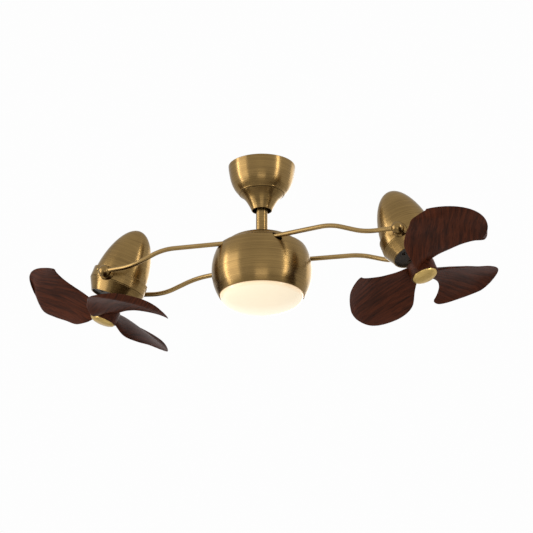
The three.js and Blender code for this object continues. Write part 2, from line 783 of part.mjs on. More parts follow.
// Cup between a pivot ball and the collar, on the +Y side.
function pivotCup() {
  const foot = COLLAR_RADIUS - 5;
  const cone = turned([
    [PIVOT_PIN + FIT, foot],
    [CUP_RADIUS, foot],
    [CUP_RADIUS, COLLAR_RADIUS + 1.5],
    [CUP_RIM, CUP_TOP],
    [PIVOT_PIN + FIT, CUP_TOP],
  ]);
  const collar = bar(COLLAR_RADIUS + FIT, -CUP_RADIUS * 2, CUP_RADIUS * 2, 64);
  const nose = bar(COLLAR_RADIUS + NOSE_STEP + FIT, COLLAR_FRONT, CUP_RADIUS * 2, 64);
  const hollow = ball(PIVOT_BALL + RUNNING).translate(0, PIVOT_Y, 0);
  return cone.rotate(-90, 0, 0).subtract(collar).subtract(nose).subtract(hollow);
}

// Tapered nose with a recessed plate, vents and a hole for the shaft.
function noseCone() {
  const back = COLLAR_FRONT + FIT;
  const lip = NOSE_RADIUS - 2.5;
  const plateBack = NOSE_FLOOR - NOSE_PLATE;
  let body = turned(
    [
      [COLLAR_RADIUS - CAST_WALL, back],
      [COLLAR_RADIUS + NOSE_STEP, back],
      [NOSE_RADIUS + NOSE_STEP, NOSE_FRONT - 2],
      [NOSE_RADIUS, NOSE_FRONT],
      [lip, NOSE_FRONT],
      [lip, NOSE_FLOOR],
      [SHAFT_RADIUS + 1, NOSE_FLOOR],
      [SHAFT_RADIUS + 1, plateBack],
      [lip, plateBack],
    ],
    HEAD_SIDES,
  );
  for (let i = 0; i < 4; i += 1) {
    const vent = bar(VENT_RADIUS, plateBack - 1, NOSE_FLOOR + 1, 12).translate(VENT_RING, 0, 0);
    body = body.subtract(vent.rotate(0, 0, 90 * i + 45));
  }
  return body;
}

// Slotted iron ring of the motor.
function motorStator() {
  const back = MOTOR_SEAT - STATOR_HEIGHT;
  let body = pipe(STATOR_BORE, STATOR_RADIUS, back, MOTOR_SEAT);
  for (let i = 0; i < STATOR_TEETH; i += 1) {
    const slot = block([STATOR_BORE - 2, -2.6, back - 1], [STATOR_RADIUS - 5, 2.6, MOTOR_SEAT + 1]);
    body = body.subtract(slot.rotate(0, 0, (360 * i) / STATOR_TEETH));
  }
  return body;
}

function motorBearing() {
  return pipe(SHAFT_RADIUS + FIT, 13, MOTOR_SEAT - 6, MOTOR_SEAT);
}

// ---------------------------------------------------------------- propeller

// Shaft with the motor's magnet ring at its back and the hub's seat in front of the housing.
function rotorShaft() {
  const magnetFront = MOTOR_SEAT - 6 - RUNNING;
  const magnetBack = magnetFront - 15;
  const seatFront = HUB_BACK - FIT;
  const tip = HUB_BACK + 9;
  return turned([
    [0, magnetBack - 8],
    [SHAFT_RADIUS, magnetBack - 8],
    [SHAFT_RADIUS, magnetBack],
    [STATOR_BORE - RUNNING, magnetBack],
    [STATOR_BORE - RUNNING, magnetFront],
    [SHAFT_RADIUS, magnetFront],
    [SHAFT_RADIUS, NOSE_FRONT + 4],
    [SHAFT_RADIUS + 3.5, NOSE_FRONT + 4],
    [SHAFT_RADIUS + 3.5, seatFront - 4],
    [17, seatFront - 4],
    [17, seatFront],
    [SHAFT_RADIUS, seatFront],
    [SHAFT_RADIUS, tip],
    [0, tip],
  ]);
}

function hub() {
  const bore = SHAFT_RADIUS + FIT;
  const bottom = HUB_BACK + 9 + FIT;
  const recess = NOSE_CAP_RADIUS - 6;
  return turned(
    [
      [bore, HUB_BACK],
      ...arc(HUB_RADIUS - HUB_ROUND, HUB_BACK + HUB_ROUND, HUB_ROUND, -90, 0, 3),
      ...arc(HUB_RADIUS - 1.5, HUB_FRONT - 1.5, 1.5, 0, 90, 2),
      [recess, HUB_FRONT],
      [recess, HUB_FRONT - HUB_RECESS],
      [0, HUB_FRONT - HUB_RECESS],
      [0, bottom],
      [bore, bottom],
    ],
    HUB_SIDES,
  );
}

function noseCap() {
  const seat = HUB_FRONT + FIT;
  const spigot = NOSE_CAP_RADIUS - 6 - FIT;
  const back = seat - HUB_RECESS + 1;
  const dome = Array.from({ length: 6 }, (_, i) => {
    const angle = ((Math.PI / 2) * i) / 5;
    return [i === 5 ? 0 : NOSE_CAP_RADIUS * Math.cos(angle), seat + NOSE_CAP_RISE * Math.sin(angle)];
  });
  return turned([[0, back], [spigot, back], [spigot, seat], ...dome]);
}

// Rows of points joined into a closed solid: each row is one ring, and both ends are capped.
function loft(rows) {
  const around = rows[0].length;
  const middle = (row) =>
    row.reduce((sum, point) => sum.add(point), new THREE.Vector3()).divideScalar(around);
  const positions = [...rows.flat(), middle(rows[0]), middle(rows[rows.length - 1])];
  const index = [];
  for (let i = 0; i < rows.length - 1; i += 1) {
    for (let j = 0; j < around; j += 1) {
      const next = (j + 1) % around;
      const a = i * around + j;
      const b = i * around + next;
      index.push(a, b + around, b, a, a + around, b + around);
    }
  }
  const firstCap = rows.length * around;
  const lastRow = (rows.length - 1) * around;
  for (let j = 0; j < around; j += 1) {
    const next = (j + 1) % around;
    index.push(firstCap, j, next);
    index.push(firstCap + 1, lastRow + next, lastRow + j);
  }
  const geometry = new THREE.BufferGeometry().setFromPoints(positions);
  geometry.setIndex(index);
  return solid(geometry);
}

// Each edge of a blade as [radius, angle, right rise, left rise]: the angle is in degrees from the
// hooked corner towards the leading side, and the rises are from the cap's seat back towards the
// motor on the right and on the left propeller, whose blades are pitched more steeply.
const TRAILING_EDGE = [
  [27, 4, 24, 24],
  [55, 11, 20, 34],
  [85, 15.5, 18.5, 39],
  [113, 13, 17, 43],
  [138, 6, 12, 47],
  [151, 0.5, 8, 48],
  [161, 1, 2, 45],
  [167, 7, -2, 43],
];
const LEADING_EDGE = [
  [27, 79, 4, 4],
  [55, 84, 0, -12],
  [86, 86, -2.5, -12],
  [115, 80.5, -4, -6],
  [145, 74, -3, -2],
  [168, 66, -2, 5],
  [173, 53, -2, 24],
  [174, 40, -2, 34],
];
// How much further each blade's leading edge rises outboard of its root.
const BLADE_TWISTS = { right: [52, -15, -15], left: [-10, -2, 9] };
const TWIST_START = 35; // radius
const TWIST_END = 110;
const TRAILING_SHARE = -1 / 5; // of the leading edge's twist

function bladeEdge(points, side, twist) {
  const corners = points.map(([radius, angle, rightRise, leftRise]) => {
    const outboard = THREE.MathUtils.smoothstep(radius, TWIST_START, TWIST_END);
    const rise = side === "right" ? rightRise : leftRise;
    return new THREE.Vector3(radius, angle, rise + twist * outboard);
  });
  return new THREE.CatmullRomCurve3(corners);
}

function bladePoint(ends, share, bulge, offset) {
  const [radius, angle, rise] = ends[0].clone().lerp(ends[1], share).toArray();
  const belly = 4 * share * (1 - share);
  const turn = THREE.MathUtils.degToRad(angle);
  const reach = radius + bulge * belly;
  const height = HUB_FRONT - rise - BLADE_CUP * belly + offset;
  return new THREE.Vector3(reach * Math.cos(turn), reach * Math.sin(turn), height);
}

// A blade is lofted from root to tip. Each section runs along an arc from one edge to the other.
function blade(side, twist) {
  const edges = [
    bladeEdge(TRAILING_EDGE, side, twist * TRAILING_SHARE),
    bladeEdge(LEADING_EDGE, side, twist),
  ];
  const rows = [];
  for (let i = 0; i <= BLADE_STATIONS; i += 1) {
    const station = i / BLADE_STATIONS;
    const ends = edges.map((edge) => edge.getPoint(station));
    const thick = BLADE_THICK + (TIP_THICK - BLADE_THICK) * station;
    const rounding = Math.sqrt(1 - (0.97 * station) ** 12);
    const row = [];
    for (const face of [1, -1]) {
      for (let j = 0; j < BLADE_ACROSS; j += 1) {
        const step = (1 - Math.cos((Math.PI * j) / BLADE_ACROSS)) / 2;
        const share = face > 0 ? step : 1 - step;
        const plump = Math.sqrt(1 - (2 * share - 1) ** 6) * rounding;
        row.push(bladePoint(ends, share, TIP_BULGE * station ** 4, (face * thick * plump) / 2));
      }
    }
    rows.push(row);
  }
  const hubSpace = bar(HUB_RADIUS + FIT, 0, 2 * HUB_FRONT, HUB_SIDES);
  return loft(rows).subtract(hubSpace);
}

// ---------------------------------------------------------------- assembly

const fan = new THREE.Group();

piece(fan, "mounting_plate", mountingPlate(), "steel");
piece(fan, "hanger_bracket", hangerBracket(), "steel");
piece(fan, "canopy_bowl", canopyBowl(), "brass");
piece(fan, "canopy_cone", canopyCone(), "brass");
piece(fan, "receiver_box", receiverBox(), "black");
for (const [name, y] of [["front", -CANOPY_SCREW_Y], ["rear", CANOPY_SCREW_Y]]) {
  const fastener = screw(4, 2.5, SCREW_SHANK, 9);
  piece(fan, `canopy_screw_${name}`, fastener, "steel").position.set(0, y, -BOWL_DEPTH - FIT);
}

piece(fan, "hanger_ball", hangerBall(), "black");
piece(fan, "downrod", downrod(), "brass");
piece(fan, "cross_pin", crossPin(), "steel");
piece(fan, "bearing_spindle", bearingSpindle(), "steel");
piece(fan, "spindle_nut", spindleNut(), "steel");

piece(fan, "carriage_bearing", carriageBearing(), "steel");
piece(fan, "bearing_housing", bearingHousing(), "aluminium");
piece(fan, "carriage_plate", carriagePlate(), "steel");
piece(fan, "globe_shell", globeShell(), "brass");
piece(fan, "globe_cap", globeCap(), "brass");
piece(fan, "led_tray", ledTray(), "aluminium");
piece(fan, "led_board", ledBoard(), "board");
piece(fan, "led_driver", ledDriver(), "black");
piece(fan, "diffuser", diffuser(), "glass");

const sides = [["right", 1, RIGHT_TILT, RIGHT_TURN], ["left", -1, LEFT_TILT, LEFT_TURN]];
const depths = [["front", -1], ["rear", 1]];

for (const [side, sideX, tilt, turn] of sides) {
  for (const [depth, sideY] of depths) {
    piece(fan, `arm_${side}_${depth}`, arm(sideX, sideY), "brass");
    const pivot = piece(fan, `pivot_ball_${side}_${depth}`, pivotBall(), "brass");
    pivot.position.set(sideX * HEAD_REACH, sideY * PIVOT_Y, PIVOT_Z);
    pivot.rotation.z = sideY > 0 ? 0 : Math.PI;
  }

  // The left head is the right one turned half round, so both propellers have the same hand.
  const place = new THREE.Group();
  place.position.set(sideX * HEAD_REACH, 0, PIVOT_Z);
  place.rotation.z = sideX > 0 ? 0 : Math.PI;
  const lean = new THREE.Group();
  lean.rotation.y = -THREE.MathUtils.degToRad(tilt);
  const head = new THREE.Group();
  head.rotation.x = Math.PI; // the head's axis points from its tail to its propeller
  fan.add(place);
  place.add(lean);
  lean.add(head);

  piece(head, `tail_shell_${side}`, tailShell(), "brass");
  piece(head, `motor_collar_${side}`, motorCollar(), "brass");
  piece(head, `nose_cone_${side}`, noseCone(), "brass");
  piece(head, `motor_stator_${side}`, motorStator(), "copper");
  piece(head, `motor_bearing_${side}`, motorBearing(), "steel");
  for (const [end, direction] of [["a", 1], ["b", -1]]) {
    const cup = piece(head, `pivot_cup_${side}_${end}`, pivotCup(), "brass");
    cup.rotation.z = direction > 0 ? 0 : Math.PI;
    piece(head, `collar_screw_${side}_${end}`, collarScrew(direction), "steel");
  }

  const propeller = new THREE.Group();
  propeller.rotation.z = THREE.MathUtils.degToRad(turn);
  head.add(propeller);
  piece(propeller, `rotor_shaft_${side}`, rotorShaft(), "steel");
  piece(propeller, `hub_${side}`, hub(), "walnut");
  piece(propeller, `nose_cap_${side}`, noseCap(), "gold");
  for (let i = 0; i < BLADES; i += 1) {
    const body = blade(side, BLADE_TWISTS[side][i]);
    const one = piece(propeller, `blade_${side}_${i + 1}`, body, "walnut");
    one.rotation.z = (2 * Math.PI * i) / BLADES;
  }
}

export default fan;
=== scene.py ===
"""Twin head ceiling fan with a globe light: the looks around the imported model.

Metres. The origin is the centre of the mounting plate's ceiling face, +Z is up and +X runs along
the arms to the right head. Each operator below makes one piece or one group of like pieces.
"""

import json
import math

import bmesh
import bpy
from mathutils import Matrix, Vector


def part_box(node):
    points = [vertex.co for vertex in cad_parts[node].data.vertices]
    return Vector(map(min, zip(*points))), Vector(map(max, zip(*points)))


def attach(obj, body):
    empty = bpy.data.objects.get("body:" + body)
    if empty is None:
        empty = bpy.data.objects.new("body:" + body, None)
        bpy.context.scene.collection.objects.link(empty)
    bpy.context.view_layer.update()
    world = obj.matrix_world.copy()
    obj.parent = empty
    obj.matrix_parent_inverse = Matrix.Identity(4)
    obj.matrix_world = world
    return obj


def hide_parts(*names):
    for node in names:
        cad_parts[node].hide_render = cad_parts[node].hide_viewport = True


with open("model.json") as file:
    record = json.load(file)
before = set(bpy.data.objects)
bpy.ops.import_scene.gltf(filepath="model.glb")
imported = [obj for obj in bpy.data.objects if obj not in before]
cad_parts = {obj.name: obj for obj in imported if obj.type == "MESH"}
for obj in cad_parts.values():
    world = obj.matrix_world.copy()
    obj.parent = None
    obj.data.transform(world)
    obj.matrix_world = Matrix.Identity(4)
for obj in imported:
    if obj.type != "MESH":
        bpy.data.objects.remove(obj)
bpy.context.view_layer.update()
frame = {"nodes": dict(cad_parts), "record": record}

bl_info = {
    "name": "Twin Head Ceiling Fan",
    "version": (1, 0, 0),
    "blender": (4, 5, 0),
    "location": "3D Viewport > Sidebar > Fan",
    "description": "Builds a twin head ceiling fan with a globe light around its packed model",
    "category": "Object",
}

SIDES = (("right", 1), ("left", -1))
DEPTHS = (("front", -1), ("rear", 1))
FINE = 128  # facets round a large turned piece
ROUND = 64
WALL = 0.0015
EDGE_TINT = (0.66, 0.62, 0.56)  # of brass seen at a flat angle
PATINA_SCALE, DENT_SCALE = 14.0, 48.0  # of the slow noise in smooth and in beaten metal
BROAD_SHARE = 0.6  # weight of the broad brush lines beside the fine ones
TONE_SPREAD = 0.34  # noise either side of its middle that reaches the two metal tones
LIGHT_DROP = 0.057  # globe's centre down to its lower opening
SHOULDER_RISE = 0.056  # globe's centre up to its flat shoulder
SHADE_DEPTH = 0.031  # of the glass below the opening
BALL_RADIUS, BALL_HOLLOW = 0.013, 0.0135  # a pivot ball and the hollow it turns in
PIVOT_OUT = 0.0773  # centre of each pivot ball, from the fan's long axis
COLLAR_BACK, COLLAR_FRONT = -0.015, 0.0093  # ends of the collar, from the tilt axis
FIT = 0.0003  # gap between pieces that touch
WRAP = "wrap"  # surface coordinates: round the piece and along it, the second in metres


# ---- sizes and colours


def length(name, description, default):
    return bpy.props.FloatProperty(
        name=name, description=description, default=default, min=0.0, unit="LENGTH", precision=5
    )


def angle(name, description, degrees):
    return bpy.props.FloatProperty(
        name=name, description=description, default=math.radians(degrees), unit="ROTATION"
    )


def colour(name, description, default):
    return bpy.props.FloatVectorProperty(
        name=name, description=description, default=default, size=3, min=0.0, max=1.0,
        subtype="COLOR",
    )


class FanSizes(bpy.types.PropertyGroup):
    """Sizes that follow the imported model."""

    globe_drop: length("Globe drop", "Ceiling to the globe's centre", 0.244)
    head_reach: length("Head reach", "Centre line to each tilt axis", 0.336)
    pivot_rise: length("Pivot rise", "Globe's centre up to the tilt axes", 0.0206)
    right_tilt: angle("Right tilt", "Lean of the right head from straight down", 21)
    left_tilt: angle("Left tilt", "Lean of the left head from straight down", 24)
    right_turn: angle("Right turn", "Where the right propeller has stopped", 17.5)
    left_turn: angle("Left turn", "Where the left propeller has stopped", -55)
    canopy_radius: length("Canopy radius", "Radius of the canopy at the ceiling", 0.0725)
    rod_radius: length("Rod radius", "Radius of the downrod", 0.0125)
    globe_radius: length("Globe radius", "Radius of the spun globe", 0.108)
    arm_radius: length("Arm radius", "Radius of the arm tube", 0.005)
    collar_radius: length("Collar radius", "Radius of the ring that carries the pivots", 0.0625)
    hub_radius: length("Hub radius", "Radius of the wooden hub", 0.0305)


class FanColours(bpy.types.PropertyGroup):
    """Colours of the finishes."""

    brass: colour("Brass", "Body of the antique brass", (0.29, 0.182, 0.06))
    brass_dark: colour("Dark brass", "Darkened lines in the brushed brass", (0.125, 0.073, 0.0215))
    arm_brass: colour("Arm brass", "Drawn brass tube of the arms", (0.42, 0.275, 0.105))
    arm_brass_dark: colour("Dark arm brass", "Darker patches of the tube", (0.22, 0.135, 0.045))
    gold: colour("Gold", "Satin gold of the propeller caps", (0.70, 0.50, 0.18))
    gold_dark: colour("Dark gold", "Brush lines in the satin gold", (0.42, 0.27, 0.075))
    walnut: colour("Walnut", "Lighter wood between the grain lines", (0.074, 0.0175, 0.0062))
    walnut_dark: colour("Dark walnut", "Grain lines of the wood", (0.026, 0.0072, 0.0032))
    glass: colour("Glass", "Lit middle of the opal glass", (0.62, 0.535, 0.40))
    glass_edge: colour("Glass edge", "Warmer light near the glass's rim", (0.62, 0.47, 0.305))
    backdrop: colour("Backdrop", "Colour behind the fan", (0.985, 0.985, 0.985))


# ---- meshes


def crisp(build, sharp):
    """Smooth faces, with the edges sharper than the angle in degrees kept crisp."""
    for face in build.faces:
        face.smooth = True
    for edge in build.edges:
        edge.smooth = edge.calc_face_angle(0) < math.radians(sharp)


def mesh_object(name, vertices, faces, place=None, sharp=32, wraps=None):
    """A shaded object from points and faces. Edges sharper than the angle stay crisp.

    The place moves the points, so the object itself stays at the origin. Wraps holds a surface
    coordinate for each corner of each face, in the faces' order.
    """
    mesh = bpy.data.meshes.new(name)
    mesh.from_pydata([tuple(v) for v in vertices], [], faces)
    if wraps is not None:
        layer = mesh.uv_layers.new(name=WRAP)
        for i, wrap in enumerate(wraps):
            layer.data[i].uv = wrap
    if place is not None:
        mesh.transform(place)
    build = bmesh.new()
    build.from_mesh(mesh)
    bmesh.ops.remove_doubles(build, verts=build.verts, dist=1e-6)
    bmesh.ops.dissolve_degenerate(build, edges=build.edges, dist=1e-7)
    bmesh.ops.recalc_face_normals(build, faces=build.faces)
    if build.calc_volume(signed=True) < 0:
        bmesh.ops.reverse_faces(build, faces=build.faces)
    crisp(build, sharp)
    build.to_mesh(mesh)
    build.free()
    piece = bpy.data.objects.new(name, mesh)
    bpy.context.scene.collection.objects.link(piece)
    return piece


def there_and_back(share):
    """0 to 1 and back to 0 over one full turn, so that a wrapped surface has no seam."""
    return 1 - abs(2 * share - 1)


def turned(name, profile, sides=ROUND, place=None, sharp=32):
    """A profile of (radius, height) pairs turned about Z, closed on itself."""
    count = len(profile)
    along = [0.0]
    for before, after in zip(profile, profile[1:] + profile[:1]):
        along.append(along[-1] + math.dist(before, after))
    vertices = []
    for i in range(sides):
        turn = 2 * math.pi * i / sides
        for radius, height in profile:
            vertices.append((radius * math.cos(turn), radius * math.sin(turn), height))
    faces, wraps = [], []
    for i in range(sides):
        start, stop = there_and_back(i / sides), there_and_back((i + 1) / sides)
        for j in range(count):
            a = i * count + j
            b = i * count + (j + 1) % count
            c = ((i + 1) % sides) * count + (j + 1) % count
            d = ((i + 1) % sides) * count + j
            faces.append((a, b, c, d))
            wraps += [(start, along[j]), (start, along[j + 1])]
            wraps += [(stop, along[j + 1]), (stop, along[j])]
    return mesh_object(name, vertices, faces, place, sharp, wraps)


def rounded(profile, radius, steps=4, closed=True):
    """The profile with each corner of more than 20 degrees rounded by about the radius."""
    points = [Vector((r, z)) for r, z in profile]
    count = len(points)
    result = []
    for i, corner in enumerate(points):
        before = points[i - 1] - corner
        after = points[(i + 1) % count] - corner
        on_axis = abs(corner.x) < 1e-9
        end = not closed and i in (0, count - 1)
        if on_axis or end or before.length < 1e-9 or after.length < 1e-9:
            result.append(tuple(corner))
            continue
        bend = math.pi - before.angle(after)
        if bend < math.radians(20):
            result.append(tuple(corner))
            continue
        cut = min(radius * math.tan(bend / 2), before.length * 0.45, after.length * 0.45)
        start = corner + before.normalized() * cut
        stop = corner + after.normalized() * cut
        for k in range(steps + 1):
            t = k / steps
            point = start * (1 - t) ** 2 + corner * 2 * t * (1 - t) + stop * t ** 2
            result.append(tuple(point))
    return result


def smooth_curve(points, steps):
    """A Catmull-Rom curve through points of any size, with this many steps in each span."""
    points = [Vector(p) for p in points]
    first = points[0] * 2 - points[1]
    last = points[-1] * 2 - points[-2]
    path = [first, *points, last]
    result = []
    for i in range(1, len(path) - 2):
        a, b, c, d = path[i - 1:i + 3]
        for k in range(steps):
            t = k / steps
            result.append(
                (
                    b * 2
                    + (c - a) * t
                    + (a * 2 - b * 5 + c * 4 - d) * t ** 2
                    + (b * 3 - a - c * 3 + d) * t ** 3
                )
                / 2
            )
    result.append(points[-1])
    return result


def arc(r, z, radius, start, stop, steps):
    """Points of a circular arc in a profile, between two angles in degrees."""
    points = []
    for i in range(steps + 1):
        turn = math.radians(start + (stop - start) * i / steps)
        points.append((r + radius * math.cos(turn), z + radius * math.sin(turn)))
    return points


def walled(outer, wall=WALL):
    """An open outer profile closed by an even wall on its inside."""
    return list(outer) + [(r - wall, z) for r, z in reversed(outer)]


def swept(name, path, radius, sides=24):
    """A rod of round section along a list of points, with flat ends."""
    vertices, along = [], [0.0]
    side = Vector((0, 0, 1))
    for i, point in enumerate(path):
        ahead = path[min(i + 1, len(path) - 1)]
        behind = path[max(i - 1, 0)]
        along.append(along[-1] + (ahead - point).length)
        direction = (ahead - behind).normalized()
        across = direction.cross(side).normalized()
        up = across.cross(direction).normalized()
        for k in range(sides):
            turn = 2 * math.pi * k / sides
            vertices.append(point + (across * math.cos(turn) + up * math.sin(turn)) * radius)
    faces, wraps = [], []
    for i in range(len(path) - 1):
        for k in range(sides):
            following = (k + 1) % sides
            a = i * sides
            b = a + sides
            faces.append((a + k, a + following, b + following, b + k))
            start, stop = there_and_back(k / sides), there_and_back((k + 1) / sides)
            wraps += [(start, along[i]), (stop, along[i])]
            wraps += [(stop, along[i + 1]), (start, along[i + 1])]
    last = (len(path) - 1) * sides
    for first in (0, last):
        faces.append(tuple(first + k for k in range(sides)))
        wraps += [(k / sides, 0.0) for k in range(sides)]
    return mesh_object(name, vertices, faces, wraps=wraps)


def carve(piece, cutter, sharp=32):
    """Takes the cutter out of the piece and removes the cutter."""
    modifier = piece.modifiers.new("cut", "BOOLEAN")
    modifier.operation = "DIFFERENCE"
    modifier.solver = "EXACT"
    modifier.object = cutter
    bpy.context.view_layer.update()
    cut = bpy.data.meshes.new_from_object(
        piece.evaluated_get(bpy.context.evaluated_depsgraph_get())
    )
    piece.modifiers.clear()
    build = bmesh.new()
    build.from_mesh(cut)
    crisp(build, sharp)
    build.to_mesh(cut)
    build.free()
    piece.data = cut
    bpy.data.objects.remove(cutter)
    return piece


def finish_piece(piece, body, slot, material, *nodes):
    """Gives the piece its finish and its body, and lets it stand for its model nodes."""
    piece.data.materials.clear()
    piece.data.materials.append(material)
    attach(piece, body)
    if nodes:
        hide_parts(*nodes)
    return piece


# ---- finishes


def new_material(name):
    """An empty node material with its shader and output: (material, nodes, link, shader)."""
    material = bpy.data.materials.get(name)
    if material is not None:
        bpy.data.materials.remove(material)
    material = bpy.data.materials.new(name)
    material.use_nodes = True
    nodes = material.node_tree.nodes
    return material, nodes, material.node_tree.links.new, nodes["Principled BSDF"]


def set_inputs(node, values):
    for name, value in values.items():
        node.inputs[name].default_value = value


def noise_on(nodes, link, source, scale, stretch, detail):
    """Noise over coordinates that are stretched first, so that its lines run along one of them."""
    mapping = nodes.new("ShaderNodeMapping")
    set_inputs(mapping, {"Scale": stretch})
    link(source, mapping.inputs["Vector"])
    noise = nodes.new("ShaderNodeTexNoise")
    set_inputs(noise, {"Scale": scale, "Detail": detail})
    link(mapping.outputs["Vector"], noise.inputs["Vector"])
    return noise


def solid_noise(nodes, link, scale, detail):
    """Even noise through the piece's own space."""
    place = nodes.new("ShaderNodeTexCoord")
    return noise_on(nodes, link, place.outputs["Object"], scale, (1, 1, 1), detail)


def ramp(nodes, link, factor, stops):
    """A colour ramp driven by a factor."""
    node = nodes.new("ShaderNodeValToRGB")
    elements = node.color_ramp.elements
    while len(elements) > 1:
        elements.remove(elements[-1])
    elements[0].position = stops[0][0]
    elements[0].color = (*stops[0][1], 1)
    for position, value in stops[1:]:
        elements.new(position).color = (*value, 1)
    link(factor, node.inputs["Fac"])
    return node


def grey(value):
    return (value, value, value)


def wrapped_noise(nodes, link, scale, stretch, detail):
    """Noise on the surface coordinates, so that its lines run round the piece."""
    wrap = nodes.new("ShaderNodeUVMap")
    wrap.uv_map = WRAP
    return noise_on(nodes, link, wrap.outputs["UV"], scale, stretch, detail)


def map_range(nodes, link, source, **ends):
    """Maps a value to another range: from_min, from_max, to_min and to_max."""
    node = nodes.new("ShaderNodeMapRange")
    set_inputs(node, {name.replace("_", " ").title(): value for name, value in ends.items()})
    link(source, node.inputs["Value"])
    return node.outputs["Result"]


def scaled_sum(nodes, link, source, factor, added):
    """The source times the factor, plus the added value."""
    node = nodes.new("ShaderNodeMath")
    node.operation = "MULTIPLY_ADD"
    node.inputs[1].default_value = factor
    link(source, node.inputs[0])
    link(added, node.inputs[2])
    return node.outputs["Value"]


def bumped(nodes, link, height, strength, distance, base=None):
    """A normal bent by a height, on top of another normal if there is one."""
    node = nodes.new("ShaderNodeBump")
    set_inputs(node, {"Strength": strength, "Distance": distance})
    link(height, node.inputs["Height"])
    if base is not None:
        link(base, node.inputs["Normal"])
    return node.outputs["Normal"]


def brushed_metal(
    name, light, dark, roughness, anisotropy, stretch, patina, relief=0.012, dents=0.0
):
    """Metal brushed in fine lines, with slow patches of darker patina and perhaps dents."""
    material, nodes, link, shader = new_material(name)
    set_inputs(
        shader,
        {
            "Metallic": 1.0,
            "Anisotropic": anisotropy,
            "Anisotropic Rotation": 0.25,  # the lines run round the piece
            "Specular Tint": (*EDGE_TINT, 1),
            "Coat Weight": 0.25,
            "Coat Roughness": 0.24,
        },
    )
    tangent = nodes.new("ShaderNodeTangent")
    tangent.direction_type = "UV_MAP"
    tangent.uv_map = WRAP
    link(tangent.outputs["Tangent"], shader.inputs["Tangent"])
    fine = wrapped_noise(nodes, link, 1.0, stretch, 3.0).outputs["Fac"]
    broad = wrapped_noise(nodes, link, 0.42, stretch, 2.0).outputs["Fac"]
    slow = solid_noise(nodes, link, DENT_SCALE if dents else PATINA_SCALE, 4.0).outputs["Fac"]
    lines = scaled_sum(nodes, link, broad, BROAD_SHARE, fine)
    blend = scaled_sum(nodes, link, slow, patina, lines)
    middle = (1 + BROAD_SHARE + patina) / 2
    spread = map_range(
        nodes, link, blend, from_min=middle - TONE_SPREAD, from_max=middle + TONE_SPREAD
    )
    tone = ramp(nodes, link, spread, [(0, dark), (1, light)])
    link(tone.outputs["Color"], shader.inputs["Base Color"])
    rough = map_range(
        nodes, link, fine,
        from_min=0.3, from_max=0.7, to_min=roughness + 0.025, to_max=roughness - 0.02,
    )
    link(rough, shader.inputs["Roughness"])
    normal = bumped(nodes, link, fine, relief, 0.0002)
    if dents:
        normal = bumped(nodes, link, slow, dents, 0.002, normal)
    link(normal, shader.inputs["Normal"])
    return material


def walnut(name, light, dark, wrapped):
    """Dark stained wood. Its grain follows the surface coordinates, or else the X axis."""
    material, nodes, link, shader = new_material(name)
    bend = solid_noise(nodes, link, 5.0, 2.0)
    place = nodes.new("ShaderNodeUVMap" if wrapped else "ShaderNodeTexCoord")
    if wrapped:
        place.uv_map = WRAP
    source = place.outputs["UV" if wrapped else "Object"]
    shift = nodes.new("ShaderNodeVectorMath")
    shift.operation = "MULTIPLY_ADD"
    shift.inputs[1].default_value = (0.0, 0.02, 0.02)
    link(bend.outputs["Color"], shift.inputs[0])
    link(source, shift.inputs[2])
    grain = nodes.new("ShaderNodeMapping")
    set_inputs(grain, {"Scale": (0.09, 1.0, 1.0)})
    link(shift.outputs["Vector"], grain.inputs["Vector"])
    figure = nodes.new("ShaderNodeTexNoise")
    set_inputs(figure, {"Scale": 130.0, "Detail": 5.0, "Roughness": 0.55})
    link(grain.outputs["Vector"], figure.inputs["Vector"])
    pores = nodes.new("ShaderNodeTexNoise")
    set_inputs(pores, {"Scale": 520.0, "Detail": 2.0})
    link(grain.outputs["Vector"], pores.inputs["Vector"])
    middle = tuple((a + b) / 2 for a, b in zip(light, dark))
    tone = ramp(
        nodes, link, figure.outputs["Fac"],
        [(0.32, dark), (0.47, middle), (0.58, light), (0.72, middle)],
    )
    flecks = ramp(nodes, link, pores.outputs["Fac"], [(0.36, grey(0.55)), (0.5, grey(1.0))])
    mix = nodes.new("ShaderNodeMix")
    mix.data_type = "RGBA"
    mix.blend_type = "MULTIPLY"
    set_inputs(mix, {"Factor": 0.7})
    link(tone.outputs["Color"], mix.inputs["A"])
    link(flecks.outputs["Color"], mix.inputs["B"])
    link(mix.outputs["Result"], shader.inputs["Base Color"])
    rough = map_range(nodes, link, figure.outputs["Fac"], to_min=0.56, to_max=0.42)
    link(rough, shader.inputs["Roughness"])
    set_inputs(shader, {"Specular IOR Level": 0.09})
    link(bumped(nodes, link, pores.outputs["Fac"], 0.12, 0.0005), shader.inputs["Normal"])
    return material


def opal_glass(name, middle, edge, low, high):
    """Lit opal glass: warmer near its rim, at the height high, than at its lowest point."""
    material, nodes, link, shader = new_material(name)
    place = nodes.new("ShaderNodeTexCoord")
    parts = nodes.new("ShaderNodeSeparateXYZ")
    link(place.outputs["Object"], parts.inputs["Vector"])
    level = map_range(nodes, link, parts.outputs["Z"], from_min=low, from_max=high)
    cloud = solid_noise(nodes, link, 9.0, 2.0)
    mixed = scaled_sum(nodes, link, cloud.outputs["Fac"], 0.12, level)
    tone = ramp(nodes, link, mixed, [(0.1, middle), (0.75, middle), (1.0, edge)])
    link(tone.outputs["Color"], shader.inputs["Base Color"])
    link(tone.outputs["Color"], shader.inputs["Emission Color"])
    set_inputs(shader, {"Emission Strength": 0.86, "Roughness": 0.22})
    return material


